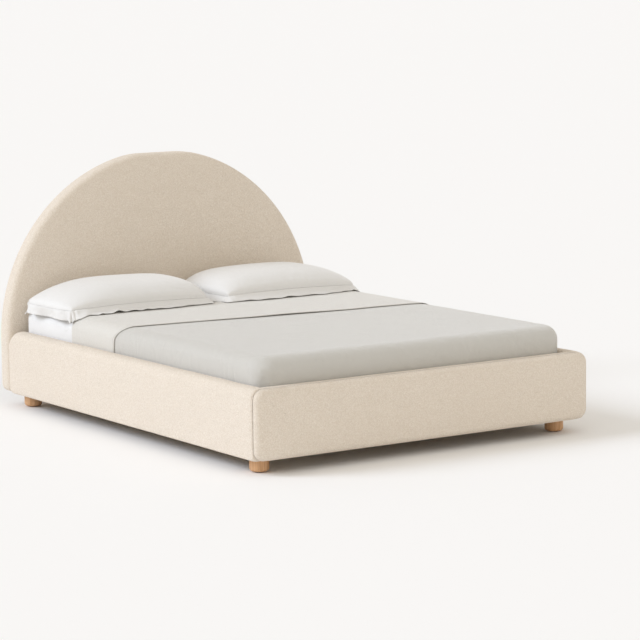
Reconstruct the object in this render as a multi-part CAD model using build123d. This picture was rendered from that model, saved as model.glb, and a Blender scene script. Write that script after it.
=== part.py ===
from build123d import *
import math
import os

# Upholstered bed with a half-round headboard, dressed with a mattress, bedding and two pillows.
# Millimetres. +Z is up, +Y runs from the foot to the headboard, +X is the right side seen from the foot.
# The origin is on the floor, under the middle of the whole bed.

# Driving sizes of the bed
mattress_width = 1510
mattress_length = 2032
mattress_height = 254
side_room = 12  # from the mattress to each side rail
foot_room = 11  # from the mattress to the foot rail
head_room = 12  # from the mattress to the headboard
mattress_sink = 147  # how far the slats' top lies below the rails' top
leg_height = 62
rail_height = 285
rail_thickness = 63
foot_rail_thickness = 70
headboard_thickness = 85
arch_centre_height = 300
crown_cut = 11  # how far the arch's top is flattened below the full circle

# Clearances and cloth
overrun = 5  # how far a cut runs past what it cuts
seam_gap = 0.5  # between two padded pieces that butt together
cloth_gap = 0.2  # between layers of one made-up piece
soft_gap = 0.3  # between soft pieces that come apart
hole_gap = 0.25  # between a bolt or screw and its hole
cover_thickness = 3
sheet_thickness = 1.5
coverlet_thickness = 4.4
case_thickness = 1.2

# Places that follow from the sizes above
inner_half = mattress_width / 2 + side_room
outer_half = inner_half + rail_thickness
bed_length = foot_rail_thickness + foot_room + mattress_length + head_room + headboard_thickness
foot_front = -bed_length / 2
foot_inner = foot_front + foot_rail_thickness
mattress_foot = foot_inner + foot_room
mattress_head = mattress_foot + mattress_length
headboard_front = mattress_head + head_room
headboard_back = headboard_front + headboard_thickness
rail_top = leg_height + rail_height
slat_top = rail_top - mattress_sink
SIDES = {"left": -1, "right": 1}


# Plain shapes placed by their limits

def block(x_limits, y_limits, z_limits):
    """A box between two limits along each axis, given in either order."""
    limits = [sorted(pair) for pair in (x_limits, y_limits, z_limits)]
    size = [high - low for low, high in limits]
    middle = [(high + low) / 2 for low, high in limits]
    return Pos(*middle) * Box(*size)


def rod(start, direction, length, radius):
    """A round bar from a point along a direction."""
    plane = Plane(origin=start, z_dir=direction)
    return plane * Cylinder(radius, length, align=(Align.CENTER, Align.CENTER, Align.MIN))


def hexagon_bar(start, direction, length, across_flats):
    """A bar of hexagonal section from a point along a direction."""
    plane = Plane(origin=start, z_dir=direction)
    return extrude(plane * RegularPolygon(across_flats / 2, 6, major_radius=False), length)


def rounded_rectangle(u_limits, v_limits, radii):
    """A rectangle whose corners, from low-low round by high-low, have their own radii."""
    (u_low, u_high), (v_low, v_high) = u_limits, v_limits
    middle = ((u_low + u_high) / 2, (v_low + v_high) / 2)
    outline = Pos(*middle) * Rectangle(u_high - u_low, v_high - v_low)
    corners = ((u_low, v_low), (u_high, v_low), (u_high, v_high), (u_low, v_high))
    for corner, radius in zip(corners, radii):
        if radius > 0:
            outline = fillet(outline.vertices().sort_by_distance(corner)[0], radius)
    return outline


def prism_x(outline, x_low, x_high):
    """A Y-Z outline drawn out along X."""
    return extrude(Plane.YZ.offset(x_low) * outline, x_high - x_low)


def prism_y(outline, y_low, y_high):
    """An X-Z outline drawn out along Y."""
    return extrude(Plane.XZ.offset(-y_high) * outline, y_high - y_low)


def prism_z(outline, z_low, z_high):
    """An X-Y outline drawn out along Z."""
    return extrude(Plane.XY.offset(z_low) * outline, z_high - z_low)


def on_side(shape, side):
    """A shape made on the right side, mirrored where the side is the left one."""
    return shape if side > 0 else mirror(shape, Plane.YZ)


def save(shape, node):
    """Writes one sub-part to its own file."""
    shape.label = node
    export_step(shape, f"parts/{node}.step")


def save_group(shapes, node):
    """Writes like pieces as separate solids of one sub-part."""
    save(Compound(children=list(shapes)), node)


# Corner blocks, bolts and legs: the places that the holes in several pieces share
board_thickness = 25
block_width = 80
block_length = 100
ledge_width = 40
ledge_height = 40
slat_thickness = 18
slat_bottom = slat_top - slat_thickness
board_bottom = leg_height + cover_thickness
side_board_inner = inner_half + cover_thickness
foot_board_inner = foot_inner - cover_thickness
foot_board_outer = foot_board_inner - board_thickness
cross_rail_back = headboard_front - seam_gap
cross_rail_front = cross_rail_back - board_thickness
block_inner = side_board_inner - block_width
BLOCK_ENDS = {"foot": (foot_board_inner, 1), "head": (cross_rail_front, -1)}
bolt_diameter = 8
bolt_head_height = 5.3
bolt_head_flats = 13
washer_diameter = 16
washer_thickness = 1.6
bolt_grip = 20  # thread in the board or post at the bolt's end
side_bolt_setback = 20  # from the block's outer end to the bolts that run across the bed
end_bolt_inset = 15  # from the side board to the bolts that run along the bed
side_bolt_heights = (13, 93)  # above the block's underside
end_bolt_heights = (36, 64)
leg_radius = 40
leg_inset = 89  # from the bed's side to the leg's centre
foot_leg_setback = 123  # from the foot's front face to the leg's centre
head_leg_setback = 61  # from the headboard's front face to the leg's centre
LEG_PLACES = {"foot": foot_front + foot_leg_setback, "head": headboard_front - head_leg_setback}
leg_bolt_in_leg = 30
leg_bolt_in_block = 45
glide_thickness = 3
headboard_foam_depth = 25
rim_foam_depth = 18
face_panel_thickness = 9
core_front = headboard_front + cover_thickness + headboard_foam_depth
core_back = headboard_back - cover_thickness
post_front = core_front + face_panel_thickness


def corner_bolts():
    """Start under the head, direction and length of each bolt at the four corners."""
    bolts = []
    for side in SIDES.values():
        for end, (face, inward) in BLOCK_ENDS.items():
            for height in side_bolt_heights:
                start = (side * block_inner, face + inward * side_bolt_setback, leg_height + height)
                bolts.append((start, (side, 0, 0), block_width + bolt_grip))
            reach = bolt_grip if end == "foot" else post_front + bolt_grip - cross_rail_front
            for height in end_bolt_heights:
                across = side * (side_board_inner - end_bolt_inset)
                start = (across, face + inward * block_length, leg_height + height)
                bolts.append((start, (0, -inward, 0), block_length + reach))
    return bolts


def bolt_shanks(gap):
    """The corner bolts' shanks from under the washers, grown all round by a gap."""
    radius = bolt_diameter / 2 + gap
    return [rod(start, along, length + gap, radius) for start, along, length in corner_bolts()]


def leg_bolt_shanks(gap):
    """The hanger bolts between the oak legs and their corner blocks, grown by a gap."""
    length = leg_bolt_in_leg + leg_bolt_in_block + 2 * gap
    low = leg_height - leg_bolt_in_leg - gap
    places = [(side * (outer_half - leg_inset), y) for side in SIDES.values() for y in LEG_PLACES.values()]
    return [rod((x, y, low), (0, 0, 1), length, bolt_diameter / 2 + gap) for x, y in places]


def drilled(shape, shanks):
    """A shape with the holes of all bolts or screws that reach it."""
    for shank in shanks:
        if shape.bounding_box().overlaps(shank.bounding_box()):
            shape -= shank
    return shape


CORNER_HOLES = bolt_shanks(hole_gap)
LEG_HOLES = leg_bolt_shanks(hole_gap)


def bolt_with_head(start, along, length):
    """One hexagon bolt, with its head outside the washer."""
    seat = [place - washer_thickness * way for place, way in zip(start, along)]
    away = [-way for way in along]
    shank = rod(seat, along, length + washer_thickness, bolt_diameter / 2)
    return shank + hexagon_bar(seat, away, bolt_head_height, bolt_head_flats)


def washer(start, along):
    """One washer between a bolt's head and the corner block."""
    seat = [place - washer_thickness * way for place, way in zip(start, along)]
    hole = rod(seat, along, washer_thickness, bolt_diameter / 2 + hole_gap)
    return rod(seat, along, washer_thickness, washer_diameter / 2) - hole


def corner_block(side, end):
    """The timber block inside one corner, between the boards, that the leg is screwed into."""
    face, inward = BLOCK_ENDS[end]
    x_limits = (side * side_board_inner, side * block_inner)
    y_limits = (face, face + inward * block_length)
    shape = block(x_limits, y_limits, (leg_height, slat_bottom))
    return drilled(shape, CORNER_HOLES + LEG_HOLES)


leg_lower_round = 14
leg_upper_round = 1.5


def oak_leg(side, end):
    """A short turned leg, rounded where it meets its glide."""
    x, y = side * (outer_half - leg_inset), LEG_PLACES[end]
    height = leg_height - glide_thickness
    shape = rod((x, y, glide_thickness), (0, 0, 1), height, leg_radius)
    rims = shape.edges().sort_by(Axis.Z)
    shape = fillet(rims[0], leg_lower_round)
    shape = fillet(shape.edges().sort_by(Axis.Z)[-1], leg_upper_round)
    return drilled(shape, LEG_HOLES)


glide_radius = 22


def leg_glide(x, y):
    """A felt pad under an oak leg."""
    return rod((x, y, 0), (0, 0, 1), glide_thickness, glide_radius)


# Headboard
headboard_corner = 35
crown_blend = 450
front_roll = 28
back_roll = 20
core_inset = cover_thickness + rim_foam_depth
member_width = 70
bottom_rail_width = 90
middle_rail_bottom = 480
back_hem = 60  # cover turned in over the back
back_cloth_thickness = 1.5


def headboard_outline(inset):
    """The half-round outline, with every side drawn in by an inset."""
    half = outer_half - inset
    bottom = leg_height + inset
    top = arch_centre_height + outer_half - crown_cut - inset
    flat_half = math.sqrt(half**2 - (top - arch_centre_height) ** 2)
    turn = (math.asin(flat_half / half) + math.pi / 2) / 2
    arc_x, arc_z = half * math.sin(turn), arch_centre_height + half * math.cos(turn)
    spring = (half, arch_centre_height)
    edges = [
        Line((-half, bottom), (half, bottom)),
        Line((half, bottom), spring),
        ThreePointArc(spring, (arc_x, arc_z), (flat_half, top)),
        Line((flat_half, top), (-flat_half, top)),
        ThreePointArc((-flat_half, top), (-arc_x, arc_z), (-half, arch_centre_height)),
        Line((-half, arch_centre_height), (-half, bottom)),
    ]
    outline = make_face(edges)
    for corner in ((-half, bottom), (half, bottom)):
        radius = max(headboard_corner - inset, 0)
        if radius > 0:
            outline = fillet(outline.vertices().sort_by_distance(corner)[0], radius)
    for corner in ((-flat_half, top), (flat_half, top)):
        outline = fillet(outline.vertices().sort_by_distance(corner)[0], crown_blend - inset)
    return outline


def headboard_form(inset):
    """The padded headboard's outside, drawn in by an inset."""
    front, back = headboard_front + inset, headboard_back - inset
    shape = prism_y(headboard_outline(inset), front, back)
    front_edges = shape.faces().sort_by(Axis.Y)[0].edges()
    shape = fillet(front_edges, front_roll - inset)
    back_edges = shape.faces().sort_by(Axis.Y)[-1].edges()
    return fillet(back_edges, back_roll - inset)


def core_zone(z_limits, x_limits=(-outer_half, outer_half)):
    """A box round part of the headboard's timber frame, behind its face panel."""
    return block(x_limits, (post_front, core_back), z_limits)


def headboard_timber():
    """The pieces of the timber frame inside the headboard, by name."""
    solid_core = prism_y(headboard_outline(core_inset), post_front, core_back)
    open_core = prism_y(headboard_outline(core_inset + member_width), post_front, core_back)
    rim = solid_core - open_core
    core_half = outer_half - core_inset
    inner_edge = core_half - member_width
    bottom = leg_height + core_inset
    top = arch_centre_height + outer_half
    lower = core_zone((bottom, arch_centre_height))
    upper = core_zone((arch_centre_height, top))
    rail_zone = core_zone((bottom, bottom + bottom_rail_width), (-inner_edge, inner_edge))
    middle_zone = core_zone((middle_rail_bottom, middle_rail_bottom + member_width))
    stile_x = (-member_width / 2, member_width / 2)
    stile_zone = core_zone((bottom + bottom_rail_width, middle_rail_bottom), stile_x)
    pieces = {
        "headboard_arch": rim & upper,
        "headboard_bottom_rail": solid_core & rail_zone,
        "headboard_middle_rail": open_core & middle_zone,
        "headboard_stile": solid_core & stile_zone,
    }
    for name, side in SIDES.items():
        post_x = sorted((side * inner_edge, side * outer_half))
        post_zone = core_zone((bottom, arch_centre_height), post_x)
        pieces[f"headboard_post_{name}"] = drilled(solid_core & lower & post_zone, CORNER_HOLES)
    return pieces


def headboard_face_panel():
    """The plywood face that the headboard's foam is glued to."""
    panel = prism_y(headboard_outline(core_inset), core_front, post_front)
    return drilled(panel, CORNER_HOLES)


def headboard_foam():
    """Foam over the face panel and round the rim of the frame."""
    core = prism_y(headboard_outline(core_inset), core_front, core_back + overrun)
    return drilled(headboard_form(cover_thickness) - core, CORNER_HOLES)


def headboard_cover():
    """The cloth cover, turned in over the back."""
    window = prism_y(headboard_outline(back_hem), core_back - overrun, headboard_back + overrun)
    shape = headboard_form(0) - headboard_form(cover_thickness) - window
    return drilled(shape, CORNER_HOLES)


def headboard_back_cloth():
    """The thin cloth that closes the back, inside the cover's hem."""
    outline = headboard_outline(back_hem + seam_gap)
    return prism_y(outline, core_back, core_back + back_cloth_thickness)


# Side rails
rail_top_roll = 35
rail_bottom_roll = 12
rail_inner_roll = 10
rail_foot_round = 6
rail_head_round = 15
rail_head_top = 65
rail_head_bottom = 30
rail_top_foam = 15
foot_panel_thickness = 30
return_above_slats = 5  # where the cover's inner edge ends, above the slats
rail_foot_end = foot_front + foot_panel_thickness + seam_gap
rail_head_end = headboard_front - seam_gap
return_height = slat_top + return_above_slats


def side_rail_form(inset):
    """The right side rail's padded outside, drawn in by an inset."""
    x_limits = (inner_half + inset, outer_half - inset)
    y_limits = (rail_foot_end + inset, rail_head_end - inset)
    z_limits = (leg_height + inset, rail_top - inset)

    def less(*radii):
        return [max(radius - inset, 0) for radius in radii]

    section_radii = less(0, rail_bottom_roll, rail_top_roll, rail_inner_roll)
    section = rounded_rectangle(x_limits, z_limits, section_radii)
    side_view = rounded_rectangle(y_limits, z_limits, less(0, rail_head_bottom, rail_head_top, 0))
    plan = rounded_rectangle(x_limits, y_limits, less(0, rail_foot_round, rail_head_round, 0))
    shape = prism_y(section, *y_limits) & prism_x(side_view, *x_limits)
    return shape & prism_z(plan, *z_limits)


def side_rail_board():
    """The board that carries the right side of the bed."""
    y_limits = (rail_foot_end + cover_thickness, rail_head_end - cover_thickness)
    z_limits = (board_bottom, rail_top - cover_thickness - rail_top_foam)
    low_round = rail_head_bottom - cover_thickness
    radii = (0, low_round, rail_head_top - rail_top_foam, 0)
    outline = rounded_rectangle(y_limits, z_limits, radii)
    return prism_x(outline, side_board_inner, side_board_inner + board_thickness)


def side_rail_foam(board):
    """Foam outside and on top of the right board."""
    return side_rail_form(cover_thickness) - board


def side_rail_cover():
    """The right rail's cloth cover, which ends above the slats on the inside."""
    shape = side_rail_form(0) - side_rail_form(cover_thickness)
    y_limits = (rail_foot_end - overrun, rail_head_end + overrun)
    bare = block((inner_half - overrun, side_board_inner), y_limits, (0, return_height))
    return shape - bare


# Slat ledges and their screws
screw_diameter = 5
screw_head_diameter = 9
screw_head_height = 3
screw_grip = 18
ledge_screw_count = 6
ledge_foot_end = foot_board_inner + block_length
ledge_head_end = cross_rail_front - block_length
ledge_screw_share = 0.5  # of the ledge's height


def ledge_screw_places():
    """Where the screws of the right ledge stand, along the bed."""
    step = (ledge_head_end - ledge_foot_end) / ledge_screw_count
    return [ledge_foot_end + step * (number + 0.5) for number in range(ledge_screw_count)]


def ledge_screw(y, gap=0):
    """One screw through the right ledge into the side board, its head sunk flush."""
    x = side_board_inner - ledge_width
    z = slat_bottom - ledge_height * ledge_screw_share
    shank = rod((x, y, z), (1, 0, 0), ledge_width + screw_grip + gap, screw_diameter / 2 + gap)
    head = rod((x, y, z), (1, 0, 0), screw_head_height + gap, screw_head_diameter / 2 + gap)
    return shank + head


LEDGE_HOLES = [ledge_screw(y, hole_gap) for y in ledge_screw_places()]


def slat_ledge():
    """The batten along the right board that the slats lie on, between two corner blocks."""
    x_limits = (side_board_inner - ledge_width, side_board_inner)
    shape = block(x_limits, (ledge_foot_end, ledge_head_end), (slat_bottom - ledge_height, slat_bottom))
    return drilled(shape, LEDGE_HOLES)


# Foot rail
foot_corner = 42
foot_front_roll = 25
foot_back_roll = 4
foot_inner_roll = 10
foot_side_gap = 1.0  # from the foot rail's inner part to each side rail
foot_inner_half = inner_half - foot_side_gap


def foot_rail_form(inset):
    """The padded foot rail's outside: a full-width panel and the part between the side rails."""
    z_limits = (leg_height + inset, rail_top - inset)
    panel_back = foot_front + foot_panel_thickness
    corner = foot_corner - inset
    panel_x = (-outer_half + inset, outer_half - inset)
    outline = rounded_rectangle(panel_x, z_limits, (corner,) * 4)
    panel = prism_y(outline, foot_front + inset, panel_back - inset)
    panel = fillet(panel.faces().sort_by(Axis.Y)[0].edges(), foot_front_roll - inset)
    panel = fillet(panel.faces().sort_by(Axis.Y)[-1].edges(), foot_back_roll - inset)
    middle_y = foot_front + foot_panel_thickness / 2
    section = rounded_rectangle((middle_y, foot_inner - inset), z_limits, (0, 0, foot_inner_roll - inset, 0))
    return panel + prism_x(section, -foot_inner_half + inset, foot_inner_half - inset)


def foot_rail_board():
    """The board across the foot of the bed."""
    half = foot_inner_half - cover_thickness
    z_limits = (board_bottom, rail_top - cover_thickness - rail_top_foam)
    shape = block((-half, half), (foot_board_outer, foot_board_inner), z_limits)
    return drilled(shape, CORNER_HOLES)


def foot_rail_foam():
    """Foam in front of the foot board and over its top."""
    half = foot_inner_half - cover_thickness
    z_limits = (board_bottom, rail_top - cover_thickness - rail_top_foam)
    return foot_rail_form(cover_thickness) - block((-half, half), (foot_board_outer, foot_board_inner), z_limits)


def foot_rail_cover():
    """The foot rail's cloth cover, which ends above the slats on the inside."""
    shape = foot_rail_form(0) - foot_rail_form(cover_thickness)
    bare = block((-inner_half, inner_half), (foot_board_inner, foot_inner + overrun), (0, return_height))
    return shape - bare


def head_cross_rail():
    """The timber across the head of the bed, between the side boards."""
    y_limits = (cross_rail_front, cross_rail_back)
    shape = block((-side_board_inner, side_board_inner), y_limits, (board_bottom, slat_bottom))
    return drilled(shape, CORNER_HOLES)


# Slats
slat_count = 16
slats_in_roll = 8
slat_width = 70
slat_end_gap = 4
slat_row_gap = 12  # from the first and last slat to the boards at the ends
strap_width = 25
strap_thickness = 1.5
strap_share = 0.55  # of a slat's half length, to the middle of a strap


def slat_places():
    """Where the slats' middles lie along the bed."""
    first = foot_board_inner + slat_row_gap + slat_width / 2
    last = cross_rail_back - slat_row_gap - slat_width / 2
    pitch = (last - first) / (slat_count - 1)
    return [first + pitch * number for number in range(slat_count)]


def slat(y):
    """One pine slat across the bed."""
    half = side_board_inner - slat_end_gap
    return block((-half, half), (y - slat_width / 2, y + slat_width / 2), (slat_bottom, slat_top))


def slat_strap(side, places):
    """A webbing strap under one roll of slats."""
    middle = side * strap_share * (side_board_inner - slat_end_gap)
    y_limits = (places[0] - strap_width / 2, places[-1] + strap_width / 2)
    x_limits = (middle - strap_width / 2, middle + strap_width / 2)
    return block(x_limits, y_limits, (slat_bottom - strap_thickness, slat_bottom))


# Centre beam, its hangers and legs
beam_width = 45
beam_height = 70
beam_end_gap = 2
hanger_steel = 2
hanger_fit = 0.3
hanger_reach = 45
hanger_ear = 22
hanger_screw_grip = 16
hanger_screw_height_shares = (0.25, 0.75)
centre_leg_side = 44
centre_leg_clear = 22  # from the floor to the centre leg's underside
centre_leg_from_foot = 338  # from the foot board's inside to the first centre leg
centre_leg_from_head = 294.5  # from the head cross rail to the last one
centre_bolt_in_leg = 28
centre_bolt_in_beam = 40
stem_diameter = 10
stem_top = 56
stem_gap = 0.3
nut_height = 8
nut_flats = 17
pad_radius = 20
pad_height = 9
pad_round = 2
beam_bottom = slat_bottom - beam_height
first_centre_leg = foot_board_inner + centre_leg_from_foot
last_centre_leg = cross_rail_front - centre_leg_from_head
middle_centre_leg = (first_centre_leg + last_centre_leg) / 2
CENTRE_LEGS = {"foot": first_centre_leg, "middle": middle_centre_leg, "head": last_centre_leg}


def centre_bolt(y, gap=0):
    """The hanger bolt between one centre leg and the beam."""
    low = beam_bottom - centre_bolt_in_leg - gap
    length = centre_bolt_in_leg + centre_bolt_in_beam + 2 * gap
    return rod((0, y, low), (0, 0, 1), length, bolt_diameter / 2 + gap)


CENTRE_HOLES = [centre_bolt(y, hole_gap) for y in CENTRE_LEGS.values()]


def centre_beam():
    """The pine beam under the middle of the slats."""
    y_limits = (foot_board_inner + hanger_steel + beam_end_gap, cross_rail_front - hanger_steel - beam_end_gap)
    shape = block((-beam_width / 2, beam_width / 2), y_limits, (beam_bottom, slat_bottom))
    return drilled(shape, CENTRE_HOLES)


def hanger_screws(face, inward, gap=0):
    """The four screws of one hanger."""
    screws = []
    for side in SIDES.values():
        x = side * (beam_width / 2 + hanger_fit + hanger_steel + hanger_ear / 2)
        for share in hanger_screw_height_shares:
            z = beam_bottom + beam_height * share
            seat = (x, face + inward * hanger_steel, z)
            length = hanger_steel + hanger_screw_grip + gap
            shank = rod(seat, (0, -inward, 0), length, screw_diameter / 2 + gap)
            head = rod(seat, (0, inward, 0), screw_head_height, screw_head_diameter / 2)
            screws.append(shank + head if gap == 0 else shank)
    return screws


HANGER_HOLES = [hole for face, inward in BLOCK_ENDS.values() for hole in hanger_screws(face, inward, hole_gap)]


def beam_hanger(face, inward):
    """A folded steel stirrup that carries one end of the beam."""
    inside = beam_width / 2 + hanger_fit
    outside = inside + hanger_steel
    low = beam_bottom - hanger_steel
    reach = face + inward * hanger_reach
    plate = block((-outside - hanger_ear, outside + hanger_ear), (face, face + inward * hanger_steel), (low, slat_bottom))
    cradle = block((-outside, outside), (face, reach), (low, slat_bottom))
    room = block((-inside, inside), (face + inward * hanger_steel, reach + inward * overrun),
                 (beam_bottom, slat_bottom + overrun))
    return drilled(plate + cradle - room, HANGER_HOLES)


def centre_leg(y):
    """A square post under the beam, bored for its levelling foot."""
    half = centre_leg_side / 2
    shape = block((-half, half), (y - half, y + half), (centre_leg_clear, beam_bottom))
    shape -= rod((0, y, 0), (0, 0, 1), stem_top + stem_gap, stem_diameter / 2 + stem_gap)
    return drilled(shape, CENTRE_HOLES)


def lock_nut(y):
    """The nut that locks a levelling foot under its leg."""
    low = centre_leg_clear - nut_height
    nut = hexagon_bar((0, y, low), (0, 0, 1), nut_height, nut_flats)
    return nut - rod((0, y, low), (0, 0, 1), nut_height, stem_diameter / 2 + stem_gap)


def levelling_foot(y):
    """A round pad on a threaded stem, which screws down out of its leg."""
    pad = rod((0, y, 0), (0, 0, 1), pad_height, pad_radius)
    pad = fillet(pad.edges().sort_by(Axis.Z)[-1], pad_round)
    return pad + rod((0, y, pad_height), (0, 0, 1), stem_top - pad_height, stem_diameter / 2)


# Mattress and bedding
mattress_corner = 70
mattress_top_roll = 54
mattress_bottom_roll = 15
sheet_bottom_share = 0.06  # of the mattress's height, where the fitted sheet ends
tuck_depth = 95  # how far the coverlet reaches below the rails' top
fold_line = headboard_front - 500  # where the coverlet is folded back
turned_back_left = 372  # how far it is turned back down the left side
turned_back_top = 458  # at the left end of the top
turned_back_right = 625
fold_edge_left = fold_line - turned_back_left
fold_edge_top = fold_line - turned_back_top
fold_edge_right = fold_line - turned_back_right
fold_bend_inset = 77  # from the rail to where the folded edge turns down the left side
fold_bend_left = inner_half - fold_bend_inset
top_layer = sheet_thickness + 2 * cloth_gap
coverlet_layer = top_layer + coverlet_thickness
fold_layer = coverlet_layer + coverlet_thickness


def mattress_form(grow):
    """The mattress's rounded outside, grown on its top and sides."""
    half = mattress_width / 2 + grow
    y_limits = (mattress_foot - grow, mattress_head + grow)
    plan = rounded_rectangle((-half, half), y_limits, (mattress_corner + grow,) * 4)
    shape = prism_z(plan, slat_top, slat_top + mattress_height + grow)
    shape = fillet(shape.faces().sort_by(Axis.Z)[-1].edges(), mattress_top_roll + grow)
    return shape


def mattress():
    """The mattress, with a rolled edge all round."""
    shape = mattress_form(0)
    return fillet(shape.faces().sort_by(Axis.Z)[0].edges(), mattress_bottom_roll)


def fitted_sheet():
    """The fitted sheet over the mattress's top and sides."""
    bottom = slat_top + mattress_height * sheet_bottom_share
    shape = mattress_form(cloth_gap + sheet_thickness) - mattress_form(cloth_gap)
    keep = block((-outer_half, outer_half), (foot_front, headboard_back), (bottom, arch_centre_height + outer_half))
    return shape & keep


def fold_zone():
    """Plan of the part where the coverlet lies double."""
    points = [
        (-outer_half, fold_edge_left),
        (-inner_half, fold_edge_left),
        (-fold_bend_left, fold_edge_top),
        (outer_half, fold_edge_right),
        (outer_half, fold_line),
        (-outer_half, fold_line),
    ]
    return make_face(Polyline(*points, close=True))


def coverlet():
    """The tucked-in coverlet, with its head end folded back over itself."""
    low, high = rail_top - tuck_depth, arch_centre_height + outer_half
    inner = mattress_form(top_layer)
    single = mattress_form(coverlet_layer) - inner
    double = mattress_form(fold_layer) - inner
    zone = block((-outer_half, outer_half), (foot_front, fold_line), (low, high))
    return (single & zone) + (double & prism_z(fold_zone(), low, high))


# Pillows
pillow_length = 700
pillow_depth = 424
pillow_rise = 124  # from the seam to the crest
pillow_setback = 264  # from the headboard's front to the pillows' middles
pillow_middle = headboard_front - pillow_setback
flange_width = 48
pillow_side_gap = 1  # from each pillowcase to the line between the two
pair_middle = -31  # across the bed, where that line lies
pillow_reach = pillow_length / 2 + flange_width + pillow_side_gap
PILLOW_PLACES = {"left": pair_middle - pillow_reach, "right": pair_middle + pillow_reach}
flange_thickness = 3
draw_in = 12  # how far the sides curve in between the corners
belly_slope = 24
seam_above_sheet = 13
pillow_bottom = slat_top + mattress_height + cloth_gap + sheet_thickness + soft_gap
# Sections from end to end: place, crown, belly and draw-in as shares of their full sizes
place_shares = (-1, -0.88, -0.6, 0, 0.6, 0.88, 1)
crown_shares = (0.07, 0.44, 0.86, 1, 0.86, 0.44, 0.07)
belly_shares = (0.3, 0.8, 1, 1, 1, 0.8, 0.3)
draw_shares = (0, 0.25, 0.75, 1, 0.75, 0.25, 0)


def pillow_section(place, crown, belly, draw, grow):
    """One upright section across a pillow: flat below, crowned above."""
    half = pillow_depth / 2 - draw_in * draw + grow
    seam = pillow_bottom + case_thickness + soft_gap + seam_above_sheet
    bottom = seam - seam_above_sheet * belly - grow
    crest = seam + pillow_rise * crown + grow
    front, back = (-half, seam), (half, seam)
    front_low, back_low = (belly_slope - half, bottom), (half - belly_slope, bottom)
    outline = make_face([
        Line(front, front_low),
        Line(front_low, back_low),
        Line(back_low, back),
        ThreePointArc(back, (0, crest), front),
    ])
    end = place * (pillow_length / 2 + grow)
    return Plane.YZ.offset(end) * outline


def pillow_form(grow):
    """A crowned pillow about its own middle, grown by a cloth's thickness."""
    table = zip(place_shares, crown_shares, belly_shares, draw_shares)
    return loft([pillow_section(*shares, grow) for shares in table])


def flange_outline():
    """The flat flange's plan: four corners with the sides drawn in between them."""
    half_length = pillow_length / 2 + flange_width
    half_depth = pillow_depth / 2 + flange_width
    corners = [(-half_length, -half_depth), (half_length, -half_depth),
               (half_length, half_depth), (-half_length, half_depth)]
    bows = [(0, draw_in - half_depth), (half_length - draw_in, 0),
            (0, half_depth - draw_in), (draw_in - half_length, 0)]
    ends = corners[1:] + corners[:1]
    return make_face([ThreePointArc(start, bow, end) for start, bow, end in zip(corners, bows, ends)])


def pillowcase():
    """The cloth case with its flat flange, about the pillow's middle."""
    seam = pillow_bottom + case_thickness + soft_gap + seam_above_sheet
    flange = prism_z(flange_outline(), seam - flange_thickness / 2, seam + flange_thickness / 2)
    return pillow_form(soft_gap + case_thickness) + flange - pillow_form(soft_gap)


def write_headboard():
    for node, shape in headboard_timber().items():
        save(shape, node)
    save(headboard_face_panel(), "headboard_face_panel")
    save(headboard_foam(), "headboard_foam")
    save(headboard_cover(), "headboard_cover")
    save(headboard_back_cloth(), "headboard_back_cloth")


def write_rails():
    board = side_rail_board()
    foam, cover, ledge = side_rail_foam(board), side_rail_cover(), slat_ledge()
    board = drilled(board, CORNER_HOLES + LEDGE_HOLES)
    screws = [ledge_screw(y) for y in ledge_screw_places()]
    for name, side in SIDES.items():
        save(on_side(board, side), f"side_rail_{name}_board")
        save(on_side(foam, side), f"side_rail_{name}_foam")
        save(on_side(cover, side), f"side_rail_{name}_cover")
        save(on_side(ledge, side), f"slat_ledge_{name}")
    save_group([on_side(screw, side) for side in SIDES.values() for screw in screws], "ledge_screws")
    save(drilled(foot_rail_board(), HANGER_HOLES), "foot_rail_board")
    save(foot_rail_foam(), "foot_rail_foam")
    save(foot_rail_cover(), "foot_rail_cover")
    save(drilled(head_cross_rail(), HANGER_HOLES), "head_cross_rail")


def write_corners():
    for name, side in SIDES.items():
        for end in BLOCK_ENDS:
            save(corner_block(side, end), f"corner_block_{end}_{name}")
            save(oak_leg(side, end), f"oak_leg_{end}_{name}")
    save_group([bolt_with_head(*bolt) for bolt in corner_bolts()], "corner_bolts")
    save_group([washer(start, along) for start, along, _ in corner_bolts()], "corner_washers")
    places = [(side * (outer_half - leg_inset), y) for side in SIDES.values() for y in LEG_PLACES.values()]
    save_group([leg_glide(x, y) for x, y in places], "leg_glides")
    save_group(leg_bolt_shanks(0) + [centre_bolt(y) for y in CENTRE_LEGS.values()], "leg_bolts")


def write_slat_base():
    places = slat_places()
    for name, roll in (("foot", places[:slats_in_roll]), ("head", places[slats_in_roll:])):
        save_group([slat(y) for y in roll], f"slats_{name}_roll")
        save_group([slat_strap(side, roll) for side in SIDES.values()], f"slat_straps_{name}")
    save(centre_beam(), "centre_beam")
    screws = []
    for name, (face, inward) in BLOCK_ENDS.items():
        save(beam_hanger(face, inward), f"beam_hanger_{name}")
        screws += hanger_screws(face, inward)
    save_group(screws, "hanger_screws")
    for name, y in CENTRE_LEGS.items():
        save(centre_leg(y), f"centre_leg_{name}")
        save(levelling_foot(y), f"levelling_foot_{name}")
    save_group([lock_nut(y) for y in CENTRE_LEGS.values()], "lock_nuts")


def write_bedding():
    save(mattress(), "mattress")
    save(fitted_sheet(), "fitted_sheet")
    save(coverlet(), "coverlet")
    filling, case = pillow_form(0), pillowcase()
    for name, x in PILLOW_PLACES.items():
        save(Pos(x, pillow_middle, 0) * filling, f"pillow_{name}")
        save(Pos(x, pillow_middle, 0) * case, f"pillowcase_{name}")


os.makedirs("parts", exist_ok=True)
write_headboard()
write_rails()
write_corners()
write_slat_base()
write_bedding()
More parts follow.
